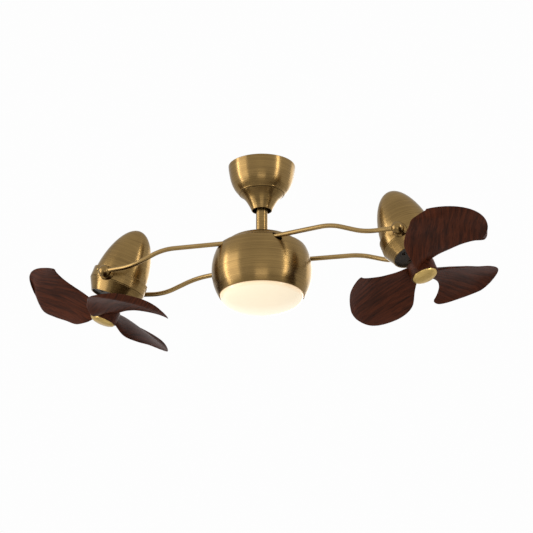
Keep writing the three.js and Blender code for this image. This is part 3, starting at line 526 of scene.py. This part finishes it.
def plain_finish(name, light, dark, roughness, metallic, scale, relief=0.1):
    """A quiet finish with slight mottling, for the pieces inside."""
    material, nodes, link, shader = new_material(name)
    set_inputs(shader, {"Metallic": metallic})
    mottle = solid_noise(nodes, link, scale, 5.0).outputs["Fac"]
    tone = ramp(nodes, link, mottle, [(0.35, dark), (0.65, light)])
    link(tone.outputs["Color"], shader.inputs["Base Color"])
    rough = map_range(nodes, link, mottle, to_min=roughness - 0.08, to_max=roughness + 0.08)
    link(rough, shader.inputs["Roughness"])
    link(bumped(nodes, link, mottle, relief, 0.0003), shader.inputs["Normal"])
    return material


def antique_brass():
    colours = bpy.context.scene.fan_colours
    name = "brushed_brass"
    return bpy.data.materials.get(name) or brushed_metal(
        name, colours.brass, colours.brass_dark, 0.27, 0.7, (2.0, 900.0, 1.0), 0.5
    )


def drawn_brass():
    colours = bpy.context.scene.fan_colours
    name = "drawn_brass"
    return bpy.data.materials.get(name) or brushed_metal(
        name, colours.arm_brass, colours.arm_brass_dark, 0.26, 0.0, (9.0, 30.0, 1.0), 0.5, 0.01
    )


def satin_gold():
    colours = bpy.context.scene.fan_colours
    name = "brushed_gold"
    return bpy.data.materials.get(name) or brushed_metal(
        name, colours.gold, colours.gold_dark, 0.3, 0.3, (3.0, 900.0, 1.0), 0.8, dents=1.0
    )


def recess_painted_shade():
    """Painted shade and reflection: the vented plate behind each propeller made near black metal,
    for the shade it lies in and the dark blades it reflects.
    """
    name = "recess_painted_shade"
    return bpy.data.materials.get(name) or plain_finish(
        name, (0.05, 0.03, 0.012), (0.02, 0.012, 0.006), 0.6, 0.6, 130.0, 0.05
    )


def finish_brass(piece, body, *nodes):
    return finish_piece(piece, body, "antique_brass", antique_brass(), *nodes)


# ---- places


def globe_height():
    return -bpy.context.scene.fan_sizes.globe_drop


def head_place(side):
    """Matrix of a head's own frame: +Z runs from the tilt axis towards the propeller."""
    sizes = bpy.context.scene.fan_sizes
    tilt = sizes.right_tilt if side > 0 else sizes.left_tilt
    height = globe_height() + sizes.pivot_rise
    place = Matrix.Translation((side * sizes.head_reach, 0, height))
    half_turn = Matrix.Rotation(0 if side > 0 else math.pi, 4, "Z")
    return place @ half_turn @ Matrix.Rotation(-tilt, 4, "Y") @ Matrix.Rotation(math.pi, 4, "X")


def propeller_place(side):
    sizes = bpy.context.scene.fan_sizes
    turn = sizes.right_turn if side > 0 else sizes.left_turn
    return head_place(side) @ Matrix.Rotation(turn, 4, "Z")


def arm_corners(side, depth):
    """Points of one arm's centre line: its inner end, knee, elbow and ball centre."""
    sizes = bpy.context.scene.fan_sizes
    reach = sizes.head_reach
    low = globe_height()
    return [
        Vector((side * 0.020, depth * 0.0676, low + 0.0451)),
        Vector((side * 0.1925, depth * 0.092, low + 0.0439)),
        Vector((side * (reach - 0.069), depth * 0.0884, low + 0.0169)),
        Vector((side * reach, depth * PIVOT_OUT, low + sizes.pivot_rise)),
    ]


def arm_path(side, depth, bend=0.026, steps=14):
    inner, knee, elbow, end = arm_corners(side, depth)
    path = [inner]
    for before, corner, after in ((inner, knee, elbow), (knee, elbow, end)):
        start = corner + (before - corner).normalized() * bend
        stop = corner + (after - corner).normalized() * bend
        for i in range(steps + 1):
            t = i / steps
            path.append(start * (1 - t) ** 2 + corner * 2 * t * (1 - t) + stop * t ** 2)
    path.append(end)
    return path


# ---- operators


class FAN_OT_canopy(bpy.types.Operator):
    """Make the canopy's bowl and the flared cone below it"""

    bl_idname = "fan.canopy"
    bl_label = "Canopy"

    def execute(self, context):
        radius = context.scene.fan_sizes.canopy_radius
        waist, mouth = 0.0485, 0.0218
        depth, drop = 0.065, 0.039
        bowl = [(0, 1), (0.18, 0.955), (0.52, 0.77), (0.785, 0.46), (1, 0)]
        outer = [
            (waist + (radius - waist) * across, -depth * along)
            for along, across in smooth_curve(bowl, 8)
        ]
        outer = [(radius - 0.0006, -0.0), (radius, -0.0008), *outer[1:]]
        inner = [(r - WALL, z) for r, z in outer if z > -depth + 0.004]
        hole = 0.030
        floor = [(hole, -depth), (hole, -depth + WALL), (inner[-1][0] - 0.001, -depth + WALL)]
        profile = rounded(outer + floor + inner[::-1], 0.0005)
        piece = turned("canopy_bowl_shell", profile, FINE)
        finish_brass(piece, "ceiling_mount", "canopy_bowl")
        top = waist - 0.0015
        start = -depth - FIT
        cone = [(0, 1), (0.2, 0.7), (0.41, 0.456), (0.77, 0.15), (1, 0)]
        outer = [
            (mouth + (top - mouth) * across, start - (drop - FIT) * along)
            for along, across in smooth_curve(cone, 8)
        ]
        piece = turned("canopy_cone_shell", rounded(walled(outer), 0.0012), FINE)
        finish_brass(piece, "ceiling_mount", "canopy_cone")
        return {"FINISHED"}


class FAN_OT_downrod(bpy.types.Operator):
    """Make the downrod"""

    bl_idname = "fan.downrod"
    bl_label = "Downrod"

    def execute(self, context):
        radius = context.scene.fan_sizes.rod_radius
        low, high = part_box("downrod")
        profile = [(radius - 0.0025, low.z), (radius, low.z), (radius, high.z)]
        profile.append((radius - 0.0025, high.z))
        piece = turned("downrod_tube", rounded(profile, 0.0005), ROUND)
        finish_brass(piece, "hanger", "downrod")
        return {"FINISHED"}


class FAN_OT_globe(bpy.types.Operator):
    """Make the globe's spun shell, with its arm slots, and the cap on its shoulder"""

    bl_idname = "fan.globe"
    bl_label = "Globe"

    def execute(self, context):
        radius = context.scene.fan_sizes.globe_radius
        centre = globe_height()
        shoulder, light_plane, flange = SHOULDER_RISE, LIGHT_DROP, 0.074

        def skin(radius, shoulder, corner):
            height = shoulder - corner
            out = math.sqrt((radius - corner) ** 2 - height ** 2)
            meet = math.degrees(math.atan2(height, out))
            low = -math.degrees(math.asin(light_plane / radius))
            sphere = arc(0, centre, radius, low, meet, 40)
            return sphere + arc(out, centre + height, corner, meet, 90, 10)[1:]

        outer = skin(radius, shoulder, 0.014)
        inner = skin(radius - WALL, shoulder - WALL, 0.014 - WALL)
        lip = outer[0][0] - 0.0019
        lip_top = centre - light_plane + WALL
        inner = [point for point in inner if point[1] > lip_top + 0.001]
        profile = [(lip, centre - light_plane), *outer]
        profile += [(flange, centre + shoulder), (flange, centre + shoulder - WALL)]
        profile += [*inner[::-1], (lip + 0.0006, lip_top), (lip, lip_top)]
        shell = turned("globe_shell_spun", rounded(profile, 0.0005), FINE)
        for side in (1, -1):
            for depth in (1, -1):
                carve(shell, self.slot(side, depth, centre))
        finish_piece(shell, "carriage", "antique_brass", antique_brass(), "globe_shell")

        hole = 0.013
        base = centre + shoulder + FIT

        def dome(radius, rise):
            stop = math.acos(hole / radius)
            return [
                (radius * math.cos(stop * i / 24), base + rise * math.sin(stop * i / 24))
                for i in range(25)
            ]

        profile = dome(0.080, 0.025) + dome(0.080 - WALL, 0.025 - WALL)[::-1]
        piece = turned("globe_cap_spun", rounded(profile, 0.0006), FINE)
        finish_brass(piece, "carriage", "globe_cap")
        return {"FINISHED"}

    def slot(self, side, depth, centre):
        """The space of one upright slot with round ends, along an arm's inner run."""
        inner, knee = arm_corners(side, depth)[:2]
        along = (knee - inner).normalized()
        across = Vector((-along.y, along.x, 0)).normalized()
        middle = centre + SHOULDER_RISE - 0.0125
        half, straight = 0.0065, 0.003
        outline = []
        for start, lift in ((0, straight), (math.pi, -straight)):
            for i in range(13):
                turn = start + math.pi * i / 12
                outline.append((half * math.cos(turn), middle + lift + half * math.sin(turn)))
        vertices = []
        for distance in (0.030, 0.100):
            base = inner + along * distance
            for offset, height in outline:
                point = base + across * offset
                vertices.append((point.x, point.y, height))
        count = len(outline)
        faces = [tuple(range(count)), tuple(range(count, 2 * count))]
        for i in range(count):
            following = (i + 1) % count
            faces.append((i, following, count + following, count + i))
        return mesh_object("slot_space", vertices, faces)


class FAN_OT_glass(bpy.types.Operator):
    """Make the opal glass below the globe"""

    bl_idname = "fan.glass"
    bl_label = "Opal glass"

    def execute(self, context):
        colours = context.scene.fan_colours
        radius = context.scene.fan_sizes.globe_radius
        plane = globe_height() - LIGHT_DROP
        edge = math.sqrt(radius ** 2 - LIGHT_DROP ** 2) - 0.0024
        flange, flange_z = edge + 0.0012, plane + WALL + FIT
        wall = 0.003

        def dome(radius, rise):
            return [
                (radius * math.cos(turn), plane - rise * math.sin(turn))
                for turn in (math.pi / 2 * (1 - i / 28) for i in range(29))
            ]

        outer = dome(edge, SHADE_DEPTH)
        inner = dome(edge - wall, SHADE_DEPTH - wall)[::-1]
        outer[0] = (0.0, outer[0][1])
        inner[-1] = (0.0, inner[-1][1])
        rim = [(edge, flange_z), (flange, flange_z), (flange, flange_z + 0.002)]
        profile = outer + rim + [(edge - wall, flange_z + 0.002)] + inner
        piece = turned("opal_glass_shade", profile, FINE)
        material = opal_glass(
            "lit_opal_glass", colours.glass, colours.glass_edge, plane - SHADE_DEPTH, plane
        )
        finish_piece(piece, "carriage", "opal_glass", material, "diffuser")
        return {"FINISHED"}


class FAN_OT_arms(bpy.types.Operator):
    """Make the four bent arms and the pivot balls on their ends"""

    bl_idname = "fan.arms"
    bl_label = "Arms and pivot balls"

    def execute(self, context):
        radius = context.scene.fan_sizes.arm_radius
        for side_name, side in SIDES:
            for depth_name, depth in DEPTHS:
                label = f"{side_name}_{depth_name}"
                path = arm_path(side, depth)
                end = path[-1]
                path[-1] = end + (path[-2] - end).normalized() * 0.0125
                piece = swept(f"arm_tube_{label}", path, radius)
                finish_piece(piece, "carriage", "antique_brass", drawn_brass(), f"arm_{label}")
                self.ball(label, end, depth)
        return {"FINISHED"}

    def ball(self, label, centre, depth):
        radius, pin, pin_end = BALL_RADIUS, 0.004, 0.007
        collar = bpy.context.scene.fan_sizes.collar_radius
        reach = centre.y * depth - collar + pin_end
        meet = math.degrees(math.asin(pin / radius))
        profile = arc(0, 0, radius, -90, 90 - meet, 30)
        profile += [(pin, reach), (0, reach)]
        profile[0] = (0, -radius)
        turn = Matrix.Rotation(math.pi / 2 * depth, 4, "X")
        piece = turned(f"pivot_knuckle_{label}", profile, 40, Matrix.Translation(centre) @ turn)
        finish_brass(piece, "carriage", f"pivot_ball_{label}")


class FAN_OT_heads(bpy.types.Operator):
    """Make both motor housings: tail, collar, nose, pivot cups and screws"""

    bl_idname = "fan.heads"
    bl_label = "Motor housings"

    def execute(self, context):
        for name, side in SIDES:
            self.head(name, side, context.scene.fan_sizes.collar_radius)
        return {"FINISHED"}

    def head(self, name, side, collar):
        place = head_place(side)
        body = f"{name}_head"
        back, front = COLLAR_BACK, COLLAR_FRONT
        tail_radius, tail_length = 0.058, 0.109

        def bullet(radius, length):
            points = []
            for i in range(37):
                distance = length * math.sin(math.pi / 2 * i / 36)
                share = max(0.0, 1 - (distance / length) ** 1.6)
                points.append((radius * math.sqrt(share), back - distance))
            return points

        outer = bullet(tail_radius, tail_length)
        inner = bullet(tail_radius - WALL, tail_length - WALL)
        tuck = back + 0.004
        profile = outer[::-1] + [(tail_radius, tuck), (tail_radius - WALL, tuck)] + inner
        piece = turned(f"tail_spinning_{name}", profile, FINE, place)
        finish_brass(piece, body, f"tail_shell_{name}")

        wall = collar - 0.003
        seat = back + 0.0043
        ledge = 0.052
        profile = [(tail_radius + FIT, back), (collar - 0.0008, back), (collar, back + 0.0008)]
        profile += [(collar, front), (wall, front), (wall, seat + 0.0035)]
        profile += [(ledge, seat + 0.0035), (ledge, seat), (tail_radius + FIT, seat)]
        piece = turned(f"collar_ring_{name}", rounded(profile, 0.0014), FINE, place)
        finish_brass(piece, body, f"motor_collar_{name}")

        start = front + FIT
        rim, nose_front = 0.0495, 0.0365
        lip = rim - 0.0025
        floor = nose_front - 0.0045
        profile = [
            (wall, start),
            (collar + 0.0004, start),
            (rim + 0.0004, nose_front - 0.002),
            (rim, nose_front),
            (lip, nose_front),
            (lip, floor),
            (0.007, floor),
            (0.007, floor - 0.002),
            (lip, floor - 0.002),
        ]
        piece = turned(f"nose_spinning_{name}", rounded(profile, 0.0014), FINE, place)
        for i in range(4):
            turn = math.pi / 4 + math.pi / 2 * i
            spot = Vector((0.027 * math.cos(turn), 0.027 * math.sin(turn), floor))
            cutter = turned(
                "vent_space", [(0, -0.01), (0.005, -0.01), (0.005, 0.01), (0, 0.01)], 32,
                place @ Matrix.Translation(spot),
            )
            carve(piece, cutter)
        finish_brass(piece, body, f"nose_cone_{name}")
        # Painted shade: the floor of the nose recess takes a second, near black material, for its
        # shade and the dark blades it reflects.
        piece.data.materials.append(recess_painted_shade())
        into_head = place.inverted()
        for face in piece.data.polygons:
            spot = into_head @ face.center
            if spot.xy.length < lip + 0.0002 and 0.02 < spot.z < nose_front - 0.0008:
                face.material_index = 1

        for end, direction in (("a", 1), ("b", -1)):
            half_turn = Matrix.Rotation(0 if direction > 0 else math.pi, 4, "Z")
            self.cup(f"{name}_{end}", body, place @ half_turn, collar)
            self.screw(f"{name}_{end}", body, place, direction, collar)

    def cup(self, label, body, place, collar):
        """A cup between the collar and a pivot ball, with a round hollow for the ball."""
        foot, top, radius, rim = collar - 0.005, 0.070, 0.016, 0.0135
        profile = [(0.0043, foot), (radius, foot), (radius, collar + 0.0015)]
        profile += [(rim, top), (0.0043, top)]
        lay = place @ Matrix.Rotation(-math.pi / 2, 4, "X")
        piece = turned(f"pivot_cup_turned_{label}", rounded(profile, 0.0006), 56, lay)
        spaces = (("collar", collar + FIT, -0.032), ("nose", collar + 0.0004 + FIT, COLLAR_FRONT))
        for name, reach, low in spaces:
            profile = [(0, low), (reach, low), (reach, 0.032), (0, 0.032)]
            carve(piece, turned(f"{name}_space", profile, 96, place))
        ball = arc(0, 0, BALL_HOLLOW, -90, 90, 24)
        ball[0], ball[-1] = (0, -BALL_HOLLOW), (0, BALL_HOLLOW)
        hollow = turned("ball_space", ball, 40, place @ Matrix.Translation((0, PIVOT_OUT, 0)))
        carve(piece, hollow)
        finish_brass(piece, body, f"pivot_cup_{label}")

    def screw(self, label, body, place, direction, collar):
        """A small pan head screw in the collar beside a pivot."""
        head, height, shank = 0.0026, 0.0016, 0.0015
        profile = [(0, -0.006), (shank, -0.006), (shank, 0), (head, 0)]
        profile += [(head, height * 0.45), (head * 0.7, height), (0, height)]
        turn = direction * math.radians(90 - 28)
        spot = (
            Matrix.Translation((0, 0, -0.004))
            @ Matrix.Rotation(turn, 4, "Z")
            @ Matrix.Rotation(math.pi / 2, 4, "Y")
            @ Matrix.Translation((0, 0, collar + FIT))
        )
        piece = turned(f"collar_screw_pan_{label}", rounded(profile, 0.0004), 24, place @ spot)
        finish_piece(piece, body, "plain_steel", satin_gold(), f"collar_screw_{label}")


class FAN_OT_propellers(bpy.types.Operator):
    """Make both propellers: hub, cap and three carved blades each"""

    bl_idname = "fan.propellers"
    bl_label = "Propellers"

    hub_back, hub_front = 0.060, 0.090

    def execute(self, context):
        colours = context.scene.fan_colours
        wood = walnut("walnut_blade", colours.walnut, colours.walnut_dark, True)
        hub_wood = walnut("walnut_hub", colours.walnut, colours.walnut_dark, False)
        radius = context.scene.fan_sizes.hub_radius
        for name, side in SIDES:
            place = propeller_place(side)
            body = f"{name}_rotor"
            self.hub(name, place, body, radius, hub_wood)
            self.cap(name, place, body, satin_gold())
            for i in range(3):
                turn = place @ Matrix.Rotation(2 * math.pi * i / 3, 4, "Z")
                self.blade(name, i, turn, body, radius, wood)
        return {"FINISHED"}

    def hub(self, name, place, body, radius, material):
        back, front = self.hub_back, self.hub_front
        bore, bottom, recess = 0.0063, back + 0.0093, 0.022
        profile = [
            (bore, back),
            *arc(radius - 0.004, back + 0.004, 0.004, -90, 0, 8),
            *arc(radius - 0.0015, front - 0.0015, 0.0015, 0, 90, 5),
            (recess, front),
            (recess, front - 0.005),
            (0, front - 0.005),
            (0, bottom),
            (bore, bottom),
        ]
        piece = turned(f"hub_wood_{name}", profile, 96, place)
        finish_piece(piece, body, "walnut", material, f"hub_{name}")

    def cap(self, name, place, body, material):
        radius, rise = 0.028, 0.009
        seat = self.hub_front + FIT
        spigot, back = radius - 0.0063, seat - 0.004
        dome = [
            (radius * math.cos(math.pi / 2 * i / 20), seat + rise * math.sin(math.pi / 2 * i / 20))
            for i in range(21)
        ]
        dome[-1] = (0, seat + rise)
        profile = [(0, back), (spigot, back), (spigot, seat), *dome]
        piece = turned(f"nose_cap_dome_{name}", profile, 96, place)
        finish_piece(piece, body, "satin_gold", material, f"nose_cap_{name}")

    def edge(self, points, side, twist):
        """A blade's edge as a smooth row of (radius, angle, rise)."""
        corners = []
        for radius, turn, right_rise, left_rise in points:
            reach = min(1, max(0, (radius - TWIST_START) / (TWIST_END - TWIST_START)))
            outboard = reach * reach * (3 - 2 * reach)
            rise = right_rise if side == "right" else left_rise
            corners.append((radius, turn, rise + twist * outboard))
        return smooth_curve(corners, 40)

    def blade(self, side, number, place, body, hub_radius, material):
        """A carved blade: sections along arcs between its two edges, from root to tip."""
        label = f"{side}_{number + 1}"
        twist, bulge, lean, trailing_cut, leading_cut = TIPS[side][number]
        edges = [
            self.edge(TRAILING_EDGE, side, twist * TRAILING_SHARE),
            self.edge(LEADING_EDGE, side, twist),
        ]
        stations, across = 60, 28
        root, tip = 0.008, 0.004
        trims = smooth_curve(((0, 0), *BLADE_TRIMS[side][number]), stations // 5)
        corner_start = 0.5
        rows = []
        for i in range(stations + 1):
            station = i / stations
            ends = [edge[round(station * (len(edge) - 1))] for edge in edges]
            thick = root + (tip - root) * station
            rounding = math.sqrt(1 - (0.985 * station) ** 12)
            outboard = max(0.0, (station - corner_start) / (1 - corner_start))
            cut = 1 - math.sqrt(1 - outboard ** 2)
            low = trailing_cut * cut - trims[i].x
            high = 1 - leading_cut * cut - trims[i].y
            row = []
            for face in (1, -1):
                for j in range(across):
                    step = (1 - math.cos(math.pi * j / across)) / 2
                    share = step if face > 0 else 1 - step
                    plump = math.sqrt(max(0.0, 1 - (2 * share - 1) ** 6)) * rounding
                    offset = face * thick * plump / 2
                    spot = low + (high - low) * share
                    swell = bulge * station ** 4 * math.sin(math.pi * min(1.0, share) ** lean)
                    row.append(self.point(ends, spot, swell, offset))
            rows.append(row)
        rows = self.from_hub(rows, hub_radius + FIT)
        around, last = len(rows[0]), len(rows) - 1
        vertices = [point for row in rows for point in row]
        faces = [
            (j, j + 1, around - j - 1, (around - j) % around) for j in range(1, across - 1)
        ]
        faces += [(0, 1, around - 1), (across - 1, across, across + 1)]
        faces.append(tuple(last * around + j for j in range(around)))
        for i in range(last):
            for j in range(around):
                following = (j + 1) % around
                a, b = i * around, (i + 1) * around
                faces.append((a + j, a + following, b + following, b + j))
        lie = Matrix.Rotation(-math.radians(GRAIN_ANGLE), 4, "Z")
        wraps = [(lie @ vertices[corner]).xy for face in faces for corner in face]
        piece = mesh_object(f"blade_wood_{label}", vertices, faces, place, 50, wraps)
        finish_piece(piece, body, "walnut", material, f"blade_{label}")

    def from_hub(self, rows, reach):
        """The rows with nothing nearer the axis than the reach: the first row lies on it."""
        kept = []
        for row in rows:
            inside = [point.xy.length < reach for point in row]
            row = [
                Vector((*(point.xy.normalized() * reach), point.z)) if hidden else point
                for point, hidden in zip(row, inside)
            ]
            if all(inside):
                kept = [row]
            else:
                kept.append(row)
        return kept

    def point(self, ends, share, bulge, offset):
        radius, turn, rise = ends[0].lerp(ends[1], share)
        belly = 4 * share * (1 - share)
        reach = radius * 0.001 + bulge
        turn = math.radians(turn)
        height = self.hub_front - rise * 0.001 - 0.006 * belly + offset
        return Vector((reach * math.cos(turn), reach * math.sin(turn), height))


# Each edge of a blade as (radius, angle, right rise, left rise) in millimetres and degrees: the
# angle from the hooked corner towards the leading side, the rises from the cap's seat back
# towards the motor on either propeller.
TRAILING_EDGE = (
    (27, 4, 24, 24), (55, 11, 20, 34), (85, 15.5, 18.5, 39), (113, 13, 17, 43),
    (138, 6, 12, 47), (151, 0.5, 8, 48), (161, 1, 2, 45), (167, 7, -2, 43),
)
LEADING_EDGE = (
    (27, 79, 4, 4), (55, 84, 0, -12), (86, 86, -2.5, -12), (115, 80.5, -4, -6),
    (145, 74, -3, -2), (168, 66, -2, 5), (173, 53, -2, 24), (174, 40, -2, 34),
)
# How much further each blade's leading edge rises outboard of its root, in millimetres; how far
# its tip bulges, in metres, and where the bulge leans (below 1 to the trailing edge); and how far
# the tip's trailing and leading corners are cut, as shares of the chord.
TIPS = {
    "right": (
        (54, 0.042, 0.554, -0.052, -0.13),
        (-17.4, -0.0013, 1, 0.1, 0.1),
        (-15, 0.005, 1, 0.2, 0.08),
    ),
    "left": (
        (-20, 0.014, 1.3, -0.05, 0.0),
        (-2, 0.005, 1, 0.2, 0.08),
        (10.5, 0.0, 1, 0.15, 0.08),
    ),
}
TWIST_START, TWIST_END, TRAILING_SHARE = 35, 110, -1 / 5
# How each blade differs from an even one, as shares of the chord: how far the trailing edge
# moves out and how far the leading edge moves in, at five stations from the root to the tip.
# Most rows here and in TIPS are fitted to one view, in part by a numeric search.
UNTRIMMED = ((0, 0),) * 5
BLADE_TRIMS = {
    "right": (
        ((0.047, 0.13), (0.074, 0.215), (0.062, 0.20), (0.039, 0.115), (0, 0)),
        ((0.042, -0.039), (0.052, -0.042), (0.044, -0.011), (0.034, 0.046), (0.023, 0.095)),
        UNTRIMMED,
    ),
    "left": (
        ((-0.017, 0.08), (-0.026, 0.09), (-0.022, 0.04), (-0.014, -0.02), (0, -0.06)),
        UNTRIMMED,
        ((0.013, 0.04), (0.03, 0.03), (0.025, -0.01), (0.024, -0.06), (0.02, -0.09)),
    ),
}
GRAIN_ANGLE = 42  # direction of the wood's grain, from the hooked corner


class FAN_OT_hardware(bpy.types.Operator):
    """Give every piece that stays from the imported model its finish"""

    bl_idname = "fan.hardware"
    bl_label = "Inner hardware"

    def execute(self, context):
        rows = (
            ("plain_steel", "zinc_steel", (0.62, 0.63, 0.65), (0.42, 0.43, 0.45),
             0.36, 1.0, 60.0, 0.03),
            ("aluminium", "cast_aluminium", (0.68, 0.69, 0.7), (0.55, 0.56, 0.57),
             0.48, 1.0, 220.0, 0.2),
            ("stator_iron", "varnished_iron", (0.26, 0.15, 0.09), (0.12, 0.07, 0.05),
             0.5, 0.6, 160.0),
            ("board", "white_board", (0.88, 0.89, 0.86), (0.8, 0.81, 0.78), 0.55, 0.0, 90.0),
            ("black_plastic", "dark_plastic", (0.035, 0.035, 0.038), (0.018, 0.018, 0.02),
             0.55, 0.0, 600.0, 0.3),
        )
        finishes = {slot: plain_finish(*row) for slot, *row in rows}
        slots = {row["node"]: row["material_slot"] for row in frame["record"]["subparts"]}
        for name, node in frame["nodes"].items():
            if node.hide_render:
                continue
            node.data.materials.clear()
            node.data.materials.append(finishes.get(slots[name], finishes["plain_steel"]))
        return {"FINISHED"}


class FAN_OT_stage(bpy.types.Operator):
    """Make the floor, the lamps, the pale backdrop and the camera"""

    bl_idname = "fan.stage"
    bl_label = "Stage"

    def execute(self, context):
        scene = context.scene
        scene.view_settings.view_transform = "Standard"
        self.floor(scene.fan_colours.backdrop)
        self.backdrop(scene, scene.fan_colours.backdrop)
        self.lamps(scene)
        self.camera(scene)
        return {"FINISHED"}

    def floor(self, pale):
        half, height = 6.0, -3.1
        corners = [(-half, -half), (half, -half), (half, half), (-half, half)]
        floor = mesh_object("floor", [(x, y, height) for x, y in corners], [(0, 1, 2, 3)])
        material, _, _, shader = new_material("pale_floor")
        set_inputs(shader, {"Base Color": (*pale, 1), "Roughness": 0.9})
        floor.data.materials.append(material)

    def backdrop(self, scene, pale):
        world = bpy.data.worlds.new("studio")
        scene.world = world
        world.use_nodes = True
        nodes, link = world.node_tree.nodes, world.node_tree.links.new
        nodes.clear()
        kinds = ("OutputWorld", "MixShader", "Background", "Background", "LightPath")
        output, mix, fill, seen, path = (nodes.new(f"ShaderNode{kind}") for kind in kinds)
        set_inputs(fill, {"Color": (1.0, 0.99, 0.97, 1), "Strength": 0.52})
        set_inputs(seen, {"Color": (*pale, 1), "Strength": 1.0})
        any_ray = path.outputs["Is Camera Ray"]
        for kind in ("Is Glossy Ray", "Is Transmission Ray"):
            either = nodes.new("ShaderNodeMath")
            either.operation = "MAXIMUM"
            link(any_ray, either.inputs[0])
            link(path.outputs[kind], either.inputs[1])
            any_ray = either.outputs["Value"]
        link(any_ray, mix.inputs["Fac"])
        link(fill.outputs["Background"], mix.inputs[1])
        link(seen.outputs["Background"], mix.inputs[2])
        link(mix.outputs["Shader"], output.inputs["Surface"])

    def lamps(self, scene):
        rows = (
            ("left_box", (-2.05, -1.6, -0.2), (1.9, 2.4), 34),
            ("left_strip", (-2.4, -1.0, -0.1), (0.3, 2.2), 16),
            ("right_strip", (2.34, -0.52, 0.0), (0.34, 2.2), 18),
            ("low_front", (0.9, -2.4, -1.5), (1.4, 0.6), 6),
            ("rear_rim", (0.3, 2.2, 0.4), (2.4, 0.8), 14),
        )
        aim = Vector((0, 0, -0.24))  # the globe's middle
        for name, spot, (wide, tall), power in rows:
            data = bpy.data.lights.new(name, "AREA")
            data.shape = "RECTANGLE"
            data.size = wide
            data.size_y = tall
            data.energy = power
            data.color = (1.0, 0.97, 0.92)
            lamp = bpy.data.objects.new(name, data)
            scene.collection.objects.link(lamp)
            lamp.location = spot
            lamp.rotation_euler = (aim - Vector(spot)).to_track_quat("-Z", "Y").to_euler()

    def camera(self, scene):
        data = bpy.data.cameras.new("camera")
        data.sensor_width = 36.0
        data.lens = 230.2
        data.shift_x = 0.0088
        data.shift_y = -0.0158
        data.clip_end = 100.0
        camera = bpy.data.objects.new("camera", data)
        scene.collection.objects.link(camera)
        aim = Vector((0, 0, -0.214))
        toward = Vector((0.3386, -0.8639, -0.3730)).normalized()
        distance = 7.334
        camera.location = aim + toward * distance
        camera.rotation_euler = (-toward).to_track_quat("-Z", "Y").to_euler()
        scene.camera = camera


class FAN_PT_panel(bpy.types.Panel):
    """Lists the fan's pieces, sizes and colours"""

    bl_idname = "FAN_PT_panel"
    bl_label = "Twin head ceiling fan"
    bl_space_type = "VIEW_3D"
    bl_region_type = "UI"
    bl_category = "Fan"

    def draw(self, context):
        for operator in OPERATORS:
            self.layout.operator(operator.bl_idname)
        for group in (context.scene.fan_sizes, context.scene.fan_colours):
            column = self.layout.column()
            for name in group.__annotations__:
                column.prop(group, name)


OPERATORS = (
    FAN_OT_canopy,
    FAN_OT_downrod,
    FAN_OT_globe,
    FAN_OT_glass,
    FAN_OT_arms,
    FAN_OT_heads,
    FAN_OT_propellers,
    FAN_OT_hardware,
    FAN_OT_stage,
)
CLASSES = (FanSizes, FanColours, *OPERATORS, FAN_PT_panel)


def register():
    for cls in CLASSES:
        bpy.utils.register_class(cls)
    bpy.types.Scene.fan_sizes = bpy.props.PointerProperty(type=FanSizes)
    bpy.types.Scene.fan_colours = bpy.props.PointerProperty(type=FanColours)


def unregister():
    del bpy.types.Scene.fan_colours
    del bpy.types.Scene.fan_sizes
    for cls in reversed(CLASSES):
        bpy.utils.unregister_class(cls)


def main():
    register()
    bpy.ops.fan.canopy()
    bpy.ops.fan.downrod()
    bpy.ops.fan.globe()
    bpy.ops.fan.glass()
    bpy.ops.fan.arms()
    bpy.ops.fan.heads()
    bpy.ops.fan.propellers()
    bpy.ops.fan.hardware()
    bpy.ops.fan.stage()


if __name__ == "__main__":
    main()
